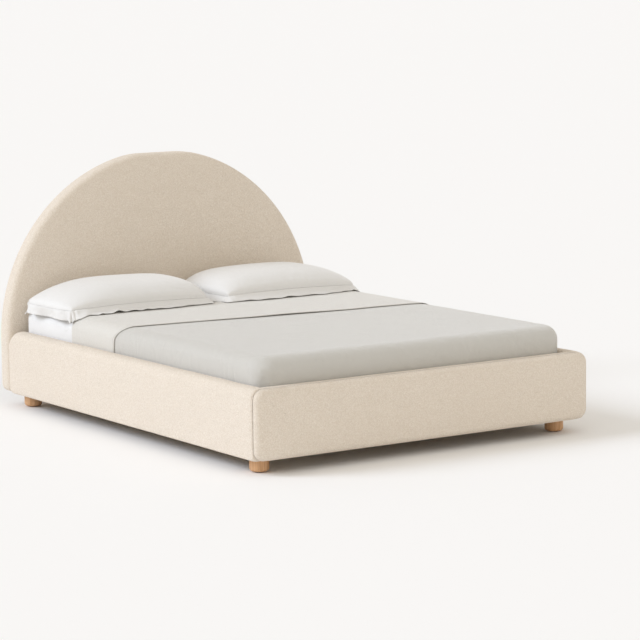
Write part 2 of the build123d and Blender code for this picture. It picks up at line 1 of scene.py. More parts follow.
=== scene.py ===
# %% [markdown]
# # Upholstered bed with a half-round headboard
#
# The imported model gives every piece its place. Its rigid pieces (boards, legs, slats, bolts) stay as they are and
# get better finishes. Everything soft is modelled here: the padded cover of the headboard and rails, the mattress
# with its bedding, and two filled pillows. All lengths are in metres, in the model's own frame: +Z is up, +Y runs
# from the foot to the headboard, and the floor is at z = 0.

import bmesh
import bpy
import math
import numpy as np
from mathutils import Matrix, Vector, noise


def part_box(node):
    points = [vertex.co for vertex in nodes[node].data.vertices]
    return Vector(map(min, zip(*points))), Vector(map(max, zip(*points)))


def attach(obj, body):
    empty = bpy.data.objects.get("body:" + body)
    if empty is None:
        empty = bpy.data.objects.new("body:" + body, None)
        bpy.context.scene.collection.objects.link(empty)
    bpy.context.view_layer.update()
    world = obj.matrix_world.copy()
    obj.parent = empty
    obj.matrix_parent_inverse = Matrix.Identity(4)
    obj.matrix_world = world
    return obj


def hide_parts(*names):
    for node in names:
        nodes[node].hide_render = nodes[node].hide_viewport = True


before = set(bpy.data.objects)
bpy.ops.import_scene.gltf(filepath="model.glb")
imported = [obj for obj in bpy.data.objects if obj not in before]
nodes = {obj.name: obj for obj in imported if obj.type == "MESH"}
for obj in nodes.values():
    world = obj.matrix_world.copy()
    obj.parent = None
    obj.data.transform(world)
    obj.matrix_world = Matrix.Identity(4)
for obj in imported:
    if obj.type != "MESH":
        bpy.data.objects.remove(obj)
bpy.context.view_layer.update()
scene = bpy.context.scene

# %% [markdown]
# ## The camera
#
# The photograph was taken from the bed's front left, from a little above it, with a long lens. Its place, turn and
# lens were found by matching known corners of the bed, so they are given here as numbers. The small roll tilts the
# picture by less than a degree.

# %% Camera at the photograph's viewing angle
CAMERA_PLACE = Vector((-6.00608, -9.41486, 1.95299))
CAMERA_LENS = 144.1
CAMERA_YAW, CAMERA_PITCH, CAMERA_ROLL = 0.582956, 0.135239, math.radians(0.7263)

ahead = Vector((
    math.sin(CAMERA_YAW) * math.cos(CAMERA_PITCH),
    math.cos(CAMERA_YAW) * math.cos(CAMERA_PITCH),
    -math.sin(CAMERA_PITCH),
))
level_right = Vector((math.cos(CAMERA_YAW), -math.sin(CAMERA_YAW), 0))
level_up = level_right.cross(ahead)
right = math.cos(CAMERA_ROLL) * level_right - math.sin(CAMERA_ROLL) * level_up
up = math.sin(CAMERA_ROLL) * level_right + math.cos(CAMERA_ROLL) * level_up
camera = bpy.data.objects.new("camera", bpy.data.cameras.new("camera"))
scene.collection.objects.link(camera)
turn = Matrix((right, up, -ahead)).transposed().to_4x4()
camera.matrix_world = Matrix.Translation(CAMERA_PLACE) @ turn
camera.data.sensor_width = 36
camera.data.lens = CAMERA_LENS
camera.data.clip_end = 1000
scene.camera = camera
print("camera:", CAMERA_LENS, "mm lens,", round(CAMERA_PLACE.length, 2), "m from the bed")

# %% [markdown]
# ## Helpers for node trees
#
# The light and each finish below are small trees of shader nodes. A few helpers keep them short: one adds a node and
# fills its sockets by name or number, and one starts a node group with named sockets. A value that is a socket is
# linked, and any other value is typed into the node.

# %% Helpers that build node trees


def fill_socket(tree, socket, value):
    """Links an input to a value that is a socket, or types the value in. A colour may leave out its alpha."""
    if isinstance(value, bpy.types.NodeSocket):
        tree.links.new(value, socket)
    elif socket.type == "RGBA" and len(value) == 3:
        socket.default_value = (*value, 1)
    else:
        socket.default_value = value


def add_node(tree, kind, settings=None, **sockets):
    """Adds a node, sets its properties, and fills its inputs by name (From_Min) or by number (i0)."""
    node = tree.nodes.new(kind)
    for key, value in (settings or {}).items():
        setattr(node, key, value)
    for key, value in sockets.items():
        by_number = key[0] == "i" and key[1:].isdigit()
        fill_socket(tree, node.inputs[int(key[1:]) if by_number else key.replace("_", " ")], value)
    return node


def maths(tree, operation, first, second=0.0, third=0.0):
    """One sum of values, as a Math node's output."""
    return add_node(tree, "ShaderNodeMath", {"operation": operation}, i0=first, i1=second, i2=third).outputs[0]


def fit(tree, value, low, high, to_low=0.0, to_high=1.0):
    """A value's range, eased into another range."""
    return add_node(tree, "ShaderNodeMapRange", {"interpolation_type": "SMOOTHSTEP"}, Value=value, From_Min=low,
                    From_Max=high, To_Min=to_low, To_Max=to_high).outputs[0]


def parts_of(tree, place):
    """The x, y and z of a place."""
    return add_node(tree, "ShaderNodeSeparateXYZ", Vector=place).outputs


def stretch(tree, place, scale):
    """A place multiplied by a scale along each axis."""
    return add_node(tree, "ShaderNodeMapping", Vector=place, Scale=scale).outputs[0]


def noise_of(tree, place, scale, detail=2.0, roughness=0.5, distortion=0.0):
    """Soft random values between 0 and 1."""
    return add_node(tree, "ShaderNodeTexNoise", Vector=place, Scale=scale, Detail=detail, Roughness=roughness,
                    Distortion=distortion).outputs[0]


def blend_colours(tree, amount, first, second):
    """A colour between two others."""
    return add_node(tree, "ShaderNodeMix", {"data_type": "RGBA"}, i0=amount, i6=first, i7=second).outputs[2]


def start_group(name, inputs, outputs):
    """A shader node group with named inputs (with their default values) and outputs."""
    group = bpy.data.node_groups.new(name, "ShaderNodeTree")
    for socket, value in inputs.items():
        kind = "NodeSocketVector" if value is None else "NodeSocketFloat"
        made = group.interface.new_socket(socket, in_out="INPUT", socket_type=kind)
        if value is not None:
            made.default_value = value
    for socket in outputs:
        group.interface.new_socket(socket, in_out="OUTPUT", socket_type="NodeSocketFloat")
    return group, group.nodes.new("NodeGroupInput").outputs, group.nodes.new("NodeGroupOutput").inputs


def place_group(tree, group, **sockets):
    """Puts a group in a tree and returns its outputs."""
    return add_node(tree, "ShaderNodeGroup", {"node_tree": group}, **sockets).outputs


print("node helpers ready")

# %% [markdown]
# ## Floor, light and background
#
# The studio is a plain pale floor under a broad soft light from the upper left, with pale light from all round. Two
# sun lamps make it. The cool one is like a window, and gives the soft-edged shadow on the right. The weak one is
# very wide and lights the front a little. The world fills the shaded sides. Where the camera or a mirror-like
# surface sees the world, it shows a plain pale colour instead, so that the background's tone can be set without
# putting more light on the bed.

# %% Floor
FLOOR_COLOUR = (0.955, 0.953, 0.950)
BACKGROUND_COLOUR = (0.956, 0.939, 0.921)
FLOOR_REACH = 200

floor_mesh = bpy.data.meshes.new("floor")
corners = [(-FLOOR_REACH, -FLOOR_REACH, 0), (FLOOR_REACH, -FLOOR_REACH, 0),
           (FLOOR_REACH, FLOOR_REACH, 0), (-FLOOR_REACH, FLOOR_REACH, 0)]
floor_mesh.from_pydata(corners, [], [(0, 1, 2, 3)])
floor = bpy.data.objects.new("floor", floor_mesh)
scene.collection.objects.link(floor)
floor_paint = bpy.data.materials.new("floor_paint")
floor_paint.use_nodes = True
floor_shader = floor_paint.node_tree.nodes["Principled BSDF"]
floor_shader.inputs["Base Color"].default_value = (*FLOOR_COLOUR, 1)
floor_shader.inputs["Roughness"].default_value = 0.9
floor_shader.inputs["Specular IOR Level"].default_value = 0.1
floor_mesh.materials.append(floor_paint)
print("floor:", 2 * FLOOR_REACH, "m square")

# %% Sun lamps and world
LIGHT_FROM = Vector((-0.775, 0.335, 0.536))
SUN_STRENGTH = 1.74
SUN_COLOUR = (0.80, 0.87, 1.0)
SUN_WIDTH = math.radians(26)
FILL_FROM = Vector((-0.30, -0.85, 0.42))
FILL_STRENGTH = 0.55
FILL_WIDTH = math.radians(100)
FILL_COLOUR = (1, 0.98, 0.95)
WORLD_LIGHT = (0.672, 0.638, 0.588)


def add_sun(name, come_from, strength, width, colour):
    """A sun lamp that shines from a direction."""
    sun = bpy.data.objects.new(name, bpy.data.lights.new(name, "SUN"))
    sun.data.energy = strength
    sun.data.angle = width
    sun.data.color = colour
    sun.rotation_mode = "QUATERNION"
    sun.rotation_quaternion = come_from.to_track_quat("Z", "Y")
    scene.collection.objects.link(sun)


add_sun("window", LIGHT_FROM, SUN_STRENGTH, SUN_WIDTH, SUN_COLOUR)
add_sun("fill", FILL_FROM, FILL_STRENGTH, FILL_WIDTH, FILL_COLOUR)

world = bpy.data.worlds.new("studio")
world.use_nodes = True
scene.world = world
tree = world.node_tree
tree.nodes.clear()
rays = add_node(tree, "ShaderNodeLightPath").outputs
seen = maths(tree, "MAXIMUM", rays["Is Camera Ray"], rays["Is Glossy Ray"])
seen = maths(tree, "MAXIMUM", seen, rays["Is Transmission Ray"])
light = add_node(tree, "ShaderNodeBackground", Color=WORLD_LIGHT).outputs[0]
shown = add_node(tree, "ShaderNodeBackground", Color=BACKGROUND_COLOUR).outputs[0]
choice = add_node(tree, "ShaderNodeMixShader", i0=seen, i1=light, i2=shown).outputs[0]
add_node(tree, "ShaderNodeOutputWorld", Surface=choice)
scene.view_settings.view_transform = "Standard"
print("window light from", [round(part, 2) for part in LIGHT_FROM], "world", WORLD_LIGHT)

# %% [markdown]
# ## Surface effects that several finishes share
#
# Each effect is a node group that puts out only values: a height for the bump and a tone for the colour. For loops
# and threads the tone is partly painted shade, lighter on their tops and darker in the gaps. The material decides
# how strong each is.
#
# - Loops: boucle yarn stands up in small irregular curls, so rounded cells are warped until none is straight. Their
#   tone is painted shade, lighter on each curl and darker in the gaps, with random tone per loop and per clump.
# - Weave: threads cross over and under each other, so two sets of rounded ridges take turns. The tone is painted
#   shade, lighter on the ridges and darker between them, plus uneven thread thickness.
# - Seam: a line of stitches pulls the cloth into a narrow groove and leaves small puckers beside it.
# - Crumple: cloth keeps soft creases from folding and handling, so stretched noise is folded at its middle.
# - Grain: timber shows long fine lines along the board, with rings that bend.
# - Marks: handling leaves soft uneven patches, on every surface.

# %% Loops of boucle yarn
boucle_loops, given, made = start_group(
    "boucle_loops", {"Place": None, "Loops per metre": 230.0, "Curl": 0.5}, ("Height", "Shade_and_tone"))
tree = boucle_loops
bend = add_node(tree, "ShaderNodeTexNoise", Vector=given["Place"], Scale=150.0, Detail=1.0)
bent = add_node(tree, "ShaderNodeVectorMath", {"operation": "SUBTRACT"}, i0=bend.outputs["Color"], i1=(0.5, 0.5, 0.5))
bent = add_node(tree, "ShaderNodeVectorMath", {"operation": "SCALE"}, i0=bent.outputs[0],
                Scale=maths(tree, "MULTIPLY", given["Curl"], 0.02))
warped = add_node(tree, "ShaderNodeVectorMath", {"operation": "ADD"}, i0=given["Place"], i1=bent.outputs[0]).outputs[0]
cells = add_node(tree, "ShaderNodeTexVoronoi", {"feature": "SMOOTH_F1"}, Vector=warped,
                 Scale=given["Loops per metre"], Smoothness=0.35)
curl = maths(tree, "SUBTRACT", 1.0, cells.outputs["Distance"])
clumps = noise_of(tree, given["Place"], 90.0, 2.0, 0.6)
fibres = noise_of(tree, warped, 900.0, 2.0, 0.6)
height = maths(tree, "MULTIPLY_ADD", clumps, 0.4, curl)
tree.links.new(maths(tree, "MULTIPLY_ADD", fibres, 0.22, height), made["Height"])
per_loop = add_node(tree, "ShaderNodeSeparateColor", Color=cells.outputs["Color"]).outputs[0]
# Painted shade: lighter on each curl's top and darker in the gaps between curls, plus random tone per loop and clump.
loop_shade_and_tone = maths(tree, "MULTIPLY_ADD", per_loop, 0.3, fit(tree, curl, 0.35, 0.95, 0.0, 0.5))
tree.links.new(maths(tree, "MULTIPLY_ADD", clumps, 0.12, loop_shade_and_tone), made["Shade_and_tone"])
print("group:", boucle_loops.name)

# %% Woven threads
woven_threads, given, made = start_group(
    "woven_threads", {"Place": None, "Threads per metre": 900.0, "Slub": 0.4}, ("Height", "Shade_and_tone"))
tree = woven_threads
parts = parts_of(tree, given["Place"])
wander = maths(tree, "MULTIPLY", noise_of(tree, given["Place"], 60.0, 1.0), 0.0012)
turns = maths(tree, "MULTIPLY", given["Threads per metre"], math.pi)
across = maths(tree, "SINE", maths(tree, "MULTIPLY", maths(tree, "ADD", parts[0], wander), turns))
along = maths(tree, "SINE", maths(tree, "MULTIPLY", maths(tree, "ADD", parts[1], wander), turns))
over = fit(tree, maths(tree, "MULTIPLY", across, along), -0.25, 0.25)
under = maths(tree, "SUBTRACT", 1.0, over)
warp = maths(tree, "MULTIPLY", maths(tree, "ABSOLUTE", across), over)
weft = maths(tree, "MULTIPLY", maths(tree, "ABSOLUTE", along), under)
threads = maths(tree, "MAXIMUM", warp, weft)
warp_slub = noise_of(tree, stretch(tree, given["Place"], (700.0, 9.0, 1.0)), 1.0)
weft_slub = noise_of(tree, stretch(tree, given["Place"], (9.0, 700.0, 1.0)), 1.0)
slub = maths(tree, "MULTIPLY", maths(tree, "ADD", warp_slub, weft_slub), 0.5)
tree.links.new(maths(tree, "MULTIPLY_ADD", slub, given["Slub"], threads), made["Height"])
# Painted shade: lighter where a thread rides high and darker between threads, plus uneven slubs in the yarn.
tree.links.new(maths(tree, "ADD", maths(tree, "MULTIPLY", threads, 0.45),
                     maths(tree, "MULTIPLY", slub, given["Slub"])), made["Shade_and_tone"])
print("group:", woven_threads.name)

# %% Stitched seam
stitched_seam, given, made = start_group(
    "stitched_seam", {"Place": None, "From seam": 1.0, "Stitches per metre": 320.0}, ("Height", "Thread"))
tree = stitched_seam
away = maths(tree, "ABSOLUTE", given["From seam"])
groove = fit(tree, away, 0.0, 0.11)
parts = parts_of(tree, given["Place"])
phase = maths(tree, "MULTIPLY", maths(tree, "ADD", parts[0], parts[1]), given["Stitches per metre"])
stitch = fit(tree, maths(tree, "ABSOLUTE", maths(tree, "SUBTRACT", maths(tree, "FRACT", phase), 0.5)), 0.36, 0.28)
thread = maths(tree, "MULTIPLY", stitch, fit(tree, away, 0.035, 0.015))
pull = noise_of(tree, given["Place"], 85.0)
ruffle = maths(tree, "MULTIPLY", maths(tree, "MULTIPLY", pull, fit(tree, away, 0.60, 0.05)), 0.5)
height = maths(tree, "ADD", groove, ruffle)
tree.links.new(maths(tree, "MULTIPLY_ADD", thread, 0.6, height), made["Height"])
tree.links.new(thread, made["Thread"])
print("group:", stitched_seam.name)

# %% Creases, grain and marks
soft_creases, given, made = start_group(
    "soft_creases", {"Place": None, "Per metre": 9.0, "Sharpness": 0.5}, ("Height",))
tree = soft_creases
wide = noise_of(tree, given["Place"], given["Per metre"], 3.0, 0.55, 0.6)
ridge = maths(tree, "ABSOLUTE", maths(tree, "SUBTRACT", wide, 0.5))
ridge = maths(tree, "POWER", maths(tree, "MULTIPLY", ridge, 2.0), maths(tree, "SUBTRACT", 1.3, given["Sharpness"]))
tree.links.new(maths(tree, "MULTIPLY_ADD", wide, 0.8, ridge), made["Height"])

timber_grain, given, made = start_group(
    "timber_grain", {"Place": None, "Lines per metre": 420.0, "Rings per metre": 26.0, "Bend": 0.5}, ("Rings", "Pores"))
tree = timber_grain
sway = noise_of(tree, given["Place"], 3.0, 2.0, 0.5)
rings = noise_of(tree, given["Place"], given["Rings per metre"], 2.0, 0.45, given["Bend"])
bands = maths(tree, "FRACT", maths(tree, "MULTIPLY_ADD", rings, 6.0, sway))
tree.links.new(fit(tree, maths(tree, "ABSOLUTE", maths(tree, "SUBTRACT", bands, 0.5)), 0.05, 0.5), made["Rings"])
pores = noise_of(tree, given["Place"], given["Lines per metre"], 3.0, 0.65)
tree.links.new(fit(tree, pores, 0.42, 0.68), made["Pores"])

handling_marks, given, made = start_group("handling_marks", {"Place": None, "Patches per metre": 4.0}, ("Mask",))
tree = handling_marks
patches = noise_of(tree, given["Place"], given["Patches per metre"], 4.0, 0.62, 0.3)
tree.links.new(fit(tree, patches, 0.36, 0.66), made["Mask"])
print("groups:", sorted(group.name for group in bpy.data.node_groups))

# %% [markdown]
# ## The finishes
#
# A finish is a material with a Principled shader. Colour, roughness and bump come from the effects above. Cloth
# gets a little sheen, because loose fibres catch light at the edges. Woven cloth needs its threads to follow the
# cloth over folds, so every sheet carries its own flat place in an attribute named cloth_place. Padded covers and
# timber use their place in the model.

# %% Start of every finish
SHEEN_ROUGHNESS = 0.45
SEAM_RANGE = 0.030


def start_finish(name, sheen=0.0, sheen_tint=(1, 1, 1), specular=0.35):
    """A material with an empty Principled shader. Returns the material, its tree and the shader."""
    material = bpy.data.materials.new(name)
    material.use_nodes = True
    shader = material.node_tree.nodes["Principled BSDF"]
    shader.inputs["Sheen Weight"].default_value = sheen
    shader.inputs["Sheen Roughness"].default_value = SHEEN_ROUGHNESS
    shader.inputs["Sheen Tint"].default_value = (*sheen_tint, 1)
    shader.inputs["Specular IOR Level"].default_value = specular
    return material, material.node_tree, shader


def model_place(tree):
    """Where a point lies in the model, which moves with its piece."""
    return add_node(tree, "ShaderNodeTexCoord").outputs["Object"]


def seam_place(tree):
    """The distance from the nearest stitched seam as a share of its range. Far from every seam it is large."""
    value = add_node(tree, "ShaderNodeAttribute", {"attribute_name": "seam_place"}).outputs["Fac"]
    return maths(tree, "SUBTRACT", value, 2.0)


def cloth_place(tree):
    """Where a point lies on its flat cloth."""
    return add_node(tree, "ShaderNodeAttribute", {"attribute_name": "cloth_place"}).outputs["Vector"]


def give_surface(tree, shader, colour, roughness, layers):
    """Links a finish's colour, roughness and stacked bump layers, each a height and how deep it is in metres."""
    normal = {}
    for height, depth in layers:
        bump = add_node(tree, "ShaderNodeBump", Height=height, Distance=depth, Strength=1.0, **normal)
        normal = {"Normal": bump.outputs["Normal"]}
    for name, value in (("Base Color", colour), ("Roughness", roughness), ("Normal", normal["Normal"])):
        tree.links.new(value, shader.inputs[name])


print("finish helpers ready")

# %% Boucle cover


def make_boucle(name, light, shade):
    """Cream short-pile boucle."""
    material, tree, shader = start_finish(name, sheen=0.25, sheen_tint=(1, 0.96, 0.9), specular=0.15)
    place = model_place(tree)
    loops = place_group(tree, boucle_loops, Place=place, Loops_per_metre=230.0, Curl=0.5)
    marks = place_group(tree, handling_marks, Place=place, Patches_per_metre=5.0)
    # Painted shade: the light colour on the curl tops, the shade colour in the gaps between curls.
    colour = blend_colours(tree, loops["Shade_and_tone"], shade, light)
    rubbed = blend_colours(tree, maths(tree, "MULTIPLY", marks["Mask"], 0.10), colour, shade)
    give_surface(tree, shader, rubbed, fit(tree, loops["Shade_and_tone"], 0.0, 1.0, 0.98, 0.86), [(loops["Height"], 0.0024)])
    return material


boucle_cover = make_boucle("boucle_cover", (0.960, 0.890, 0.795), (0.740, 0.645, 0.535))
print("finish:", boucle_cover.name)

# %% Cottons and linens


def make_cloth(name, light, shade, threads, slub, depth, crease_depth, creases=9.0, sheen=0.12, roughness=0.85):
    """Plain woven cloth in its own flat place."""
    material, tree, shader = start_finish(name, sheen=sheen, sheen_tint=(1, 0.985, 0.955), specular=0.25)
    place = cloth_place(tree)
    weave = place_group(tree, woven_threads, Place=place, Threads_per_metre=threads, Slub=slub)
    folds = place_group(tree, soft_creases, Place=model_place(tree), Per_metre=creases, Sharpness=0.35)
    marks = place_group(tree, handling_marks, Place=place, Patches_per_metre=3.0)
    seam = place_group(tree, stitched_seam, Place=place, From_seam=seam_place(tree), Stitches_per_metre=320.0)
    # Painted shade: raised threads get the light colour, the dips between threads the shade colour.
    colour = blend_colours(tree, weave["Shade_and_tone"], shade, light)
    marked = blend_colours(tree, maths(tree, "MULTIPLY", marks["Mask"], 0.08), colour, shade)
    sewn = blend_colours(tree, maths(tree, "MULTIPLY", seam["Thread"], 0.5), marked, shade)
    give_surface(tree, shader, sewn, fit(tree, weave["Height"], 0.0, 1.2, roughness + 0.08, roughness - 0.05),
                 [(folds["Height"], crease_depth), (seam["Height"], 0.0012), (weave["Height"], depth)])
    return material


coverlet_face = make_cloth(
    "coverlet_face", (0.680, 0.664, 0.620), (0.558, 0.542, 0.502), 620.0, 0.5, 0.00035, 0.0035, sheen=1.0)
coverlet_reverse = make_cloth(
    "coverlet_reverse", (0.770, 0.748, 0.698), (0.655, 0.632, 0.583), 620.0, 0.5, 0.0003, 0.003, sheen=0.75)
sheet_cotton = make_cloth("sheet_cotton", (0.880, 0.878, 0.872), (0.790, 0.788, 0.784), 1400.0, 0.2, 0.0001, 0.0035)
pillowcase_cotton = make_cloth(
    "pillowcase_cotton", (0.845, 0.840, 0.828), (0.750, 0.742, 0.726), 1400.0, 0.25, 0.00012, 0.0022, 14.0,
    sheen=0.55)
back_lining = make_cloth("back_lining", (0.420, 0.390, 0.345), (0.330, 0.305, 0.265), 800.0, 0.3, 0.0002, 0.003)
strap_webbing = make_cloth("strap_webbing", (0.760, 0.740, 0.690), (0.520, 0.500, 0.450), 450.0, 0.3, 0.0006, 0.0)
print("cloth finishes:", [m.name for m in bpy.data.materials if m.name.count("_")][:12])

# %% Ticking and felt


def make_ticking():
    """Knitted mattress ticking with a small quilted diamond."""
    material, tree, shader = start_finish("mattress_ticking", sheen=0.15, specular=0.3)
    place = cloth_place(tree)
    parts = parts_of(tree, place)
    down = maths(tree, "SINE", maths(tree, "MULTIPLY", maths(tree, "ADD", parts[0], parts[1]), 62.0))
    across = maths(tree, "SINE", maths(tree, "MULTIPLY", maths(tree, "SUBTRACT", parts[0], parts[1]), 62.0))
    quilt = maths(tree, "MINIMUM", maths(tree, "ABSOLUTE", down), maths(tree, "ABSOLUTE", across))
    puff = maths(tree, "POWER", quilt, 0.45)
    weave = place_group(tree, woven_threads, Place=place, Threads_per_metre=1100.0, Slub=0.3)
    # Painted shade between the threads from the weave's tone: the darker colour in the dips, the lighter on raised
    # threads.
    colour = blend_colours(tree, weave["Shade_and_tone"], (0.74, 0.73, 0.71), (0.86, 0.85, 0.83))
    give_surface(tree, shader, colour, fit(tree, puff, 0.0, 1.0, 0.9, 0.75), [(puff, 0.004), (weave["Height"], 0.0002)])
    return material


def make_felt():
    """Pressed grey-brown felt."""
    material, tree, shader = start_finish("glide_felt", sheen=0.3, specular=0.1)
    place = model_place(tree)
    fibres = noise_of(tree, place, 1400.0, 4.0, 0.7, 1.5)
    colour = blend_colours(tree, fibres, (0.17, 0.14, 0.11), (0.34, 0.29, 0.24))
    give_surface(tree, shader, colour, fit(tree, fibres, 0.2, 0.8, 0.98, 0.88), [(fibres, 0.0006)])
    return material


mattress_ticking = make_ticking()
glide_felt = make_felt()
print("finishes:", mattress_ticking.name, glide_felt.name)

# %% Timber


def make_timber(name, light, dark, pore, along, rings=26.0, roughness=0.5, coat=0.0):
    """Timber whose grain runs along one axis of the model."""
    material, tree, shader = start_finish(name, specular=0.4)
    shader.inputs["Coat Weight"].default_value = coat
    shader.inputs["Coat Roughness"].default_value = 0.35
    scale = tuple(0.05 if axis == along else 1.0 for axis in "xyz")
    place = stretch(tree, model_place(tree), scale)
    grain = place_group(tree, timber_grain, Place=place, Rings_per_metre=rings)
    marks = place_group(tree, handling_marks, Place=model_place(tree), Patches_per_metre=9.0)
    ringed = blend_colours(tree, grain["Rings"], dark, light)
    pored = blend_colours(tree, maths(tree, "MULTIPLY", grain["Pores"], 0.35), ringed, pore)
    marked = blend_colours(tree, maths(tree, "MULTIPLY", marks["Mask"], 0.12), pored, dark)
    give_surface(tree, shader, marked, fit(tree, grain["Pores"], 0.0, 1.0, roughness, roughness + 0.18),
                 [(maths(tree, "SUBTRACT", 1.0, grain["Pores"]), 0.0003)])
    return material


PINE = ((0.760, 0.590, 0.370), (0.640, 0.440, 0.230), (0.560, 0.370, 0.190))
oak = make_timber("oiled_oak", (0.700, 0.425, 0.230), (0.580, 0.325, 0.155), (0.400, 0.210, 0.095), "z",
                  rings=34.0, coat=0.12, roughness=0.42)
pine_across = make_timber("pine_slats", *PINE, "x")
pine_along = make_timber("pine_beam", *PINE, "y")
pine_upright = make_timber("pine_posts", (0.740, 0.570, 0.350), (0.620, 0.420, 0.220), (0.540, 0.360, 0.180), "z")


def make_plywood():
    """Birch plywood: pale faces, with thin glued layers that show at the edges."""
    material, tree, shader = start_finish("birch_plywood", specular=0.35)
    place = model_place(tree)
    grain = place_group(tree, timber_grain, Place=stretch(tree, place, (1.0, 1.0, 0.06)), Rings_per_metre=12.0,
                        Lines_per_metre=300.0, Bend=0.8)
    parts = parts_of(tree, place)
    layers = maths(tree, "SINE", maths(tree, "MULTIPLY", maths(tree, "ADD", parts[0], parts[1]), 1700.0))
    facing_up = parts_of(tree, add_node(tree, "ShaderNodeNewGeometry").outputs["Normal"])[2]
    top_face = fit(tree, maths(tree, "ABSOLUTE", facing_up), 0.7, 0.95)
    face = blend_colours(tree, grain["Rings"], (0.62, 0.47, 0.29), (0.74, 0.60, 0.41))
    striped = blend_colours(tree, fit(tree, layers, -0.2, 0.2), (0.46, 0.31, 0.17), (0.72, 0.57, 0.38))
    colour = blend_colours(tree, top_face, face, striped)
    give_surface(tree, shader, colour, fit(tree, grain["Pores"], 0.0, 1.0, 0.55, 0.7), [(grain["Pores"], 0.0002)])
    return material


birch_plywood = make_plywood()
print("timbers:", oak.name, pine_across.name, birch_plywood.name)

# %% Zinc-plated steel


def make_zinc():
    """Bright zinc plating, with fine brushed lines and duller patches."""
    material, tree, shader = start_finish("zinc_plating", specular=0.5)
    shader.inputs["Metallic"].default_value = 1.0
    place = model_place(tree)
    brushed = noise_of(tree, stretch(tree, place, (1.0, 1.0, 12.0)), 320.0, 3.0, 0.6)
    marks = place_group(tree, handling_marks, Place=place, Patches_per_metre=40.0)
    colour = blend_colours(tree, marks["Mask"], (0.62, 0.64, 0.66), (0.74, 0.74, 0.72))
    give_surface(tree, shader, colour, fit(tree, marks["Mask"], 0.0, 1.0, 0.28, 0.46), [(brushed, 0.00008)])
    return material


zinc_plating = make_zinc()
print("finish:", zinc_plating.name)

# %% Finishes of the rigid pieces, each picked by what its node is made of
MADE_OF = (
    (oak, ("oak_leg",)),
    (pine_across, ("slats", "head_cross_rail", "headboard_bottom_rail", "headboard_middle_rail")),
    (pine_along, ("centre_beam", "slat_ledge")),
    (pine_upright, ("headboard_post", "headboard_stile", "centre_leg", "corner_block")),
    (birch_plywood, ("headboard_arch", "headboard_face_panel", "side_rail_left_board", "side_rail_right_board",
                     "foot_rail_board")),
    (zinc_plating, ("beam_hanger", "hanger_screws", "ledge_screws", "corner_bolts", "corner_washers", "leg_bolts",
                    "lock_nuts", "levelling_foot")),
)
finished = 0
for name, node in nodes.items():
    for finish, starts in MADE_OF:
        if name.startswith(starts) and node.data.materials:
            for number in range(len(node.data.materials)):
                node.data.materials[number] = finish
            finished += 1
print("rigid nodes finished:", finished)

# %% [markdown]
# ## Helpers for shapes
#
# Padded covers and sheets are made from rings and grids of points, so that every face is a small even quad that
# bends well. One helper turns points and faces into a piece, others number rows and grids of points and join them
# with quads, and one gives the slow unevenness that hand-made upholstery has.

# %% Helpers that make meshes
SPACING = 0.012


def make_piece(name, points, faces, finishes, finish_of_face=None, places=None, seam=None):
    """A smooth mesh object from points and faces, with each point's flat place and its distance from a seam."""
    mesh = bpy.data.meshes.new(name)
    mesh.from_pydata([tuple(map(float, point)) for point in points], [], [tuple(map(int, face)) for face in faces])
    for finish in finishes:
        mesh.materials.append(finish)
    if finish_of_face is not None:
        mesh.polygons.foreach_set("material_index", np.array(finish_of_face, np.int32))
    if places is not None:
        attribute = mesh.attributes.new("cloth_place", "FLOAT_VECTOR", "POINT")
        attribute.data.foreach_set("vector", np.array(places, np.float32).ravel())
    if seam is not None:
        attribute = mesh.attributes.new("seam_place", "FLOAT", "POINT")
        attribute.data.foreach_set("value", (2 + np.clip(np.array(seam) / SEAM_RANGE, -1, 1)).astype(np.float32))
    mesh.shade_smooth()
    mesh.update()
    piece = bpy.data.objects.new(name, mesh)
    scene.collection.objects.link(piece)
    return piece


def bridge(first, second, closed=True):
    """Quads between two rows of point numbers."""
    count = len(first)
    steps = range(count if closed else count - 1)
    return [(first[i], first[(i + 1) % count], second[(i + 1) % count], second[i]) for i in steps]


def add_row(points, rows, new):
    """Adds new points as one more row, and notes their numbers."""
    start = len(points)
    points.extend(new)
    rows.append(list(range(start, len(points))))


def join_rows(rows, closed=True, flip=False):
    """Quads between all neighbouring rows."""
    pairs = zip(rows[1:], rows) if flip else zip(rows, rows[1:])
    return [face for first, second in pairs for face in bridge(first, second, closed)]


def fan(row, tip, flip=False):
    """Triangles from a closed row to one point."""
    ends = zip(row, row[1:] + row[:1])
    return [(second, first, tip) if flip else (first, second, tip) for first, second in ends]


def grid_faces(number, upwards=True):
    """Quads between the point numbers of a grid."""
    lines, columns = number.shape
    corners = ((0, 0), (0, 1), (1, 1), (1, 0)) if upwards else ((0, 0), (1, 0), (1, 1), (0, 1))
    return [tuple(number[j + line, i + column] for line, column in corners)
            for j in range(lines - 1) for i in range(columns - 1)]


def grid_rim(number):
    """The point numbers round a grid, from its first corner."""
    return list(number[0, :-1]) + list(number[:-1, -1]) + list(number[-1, :0:-1]) + list(number[:0:-1, 0])


def unevenness(points, wavelength, seed):
    """Slow random values from -1 to 1 at each point, the same on every run."""
    shift = Vector((seed * 7.31, seed * 3.17, seed * 5.77))
    return np.array([noise.noise(Vector(point) / wavelength + shift) for point in points])


def ease(value):
    """0 to 1 with soft ends."""
    value = np.clip(value, 0, 1)
    return value * value * (3 - 2 * value)


def arc_points(centre, radius, start, end, count):
    """Points and outward directions along an arc, given in degrees, without its last point."""
    angles = np.radians(np.linspace(start, end, count + 1)[:-1])
    ways = np.stack([np.cos(angles), np.sin(angles)], 1)
    return np.array(centre) + radius * ways, ways


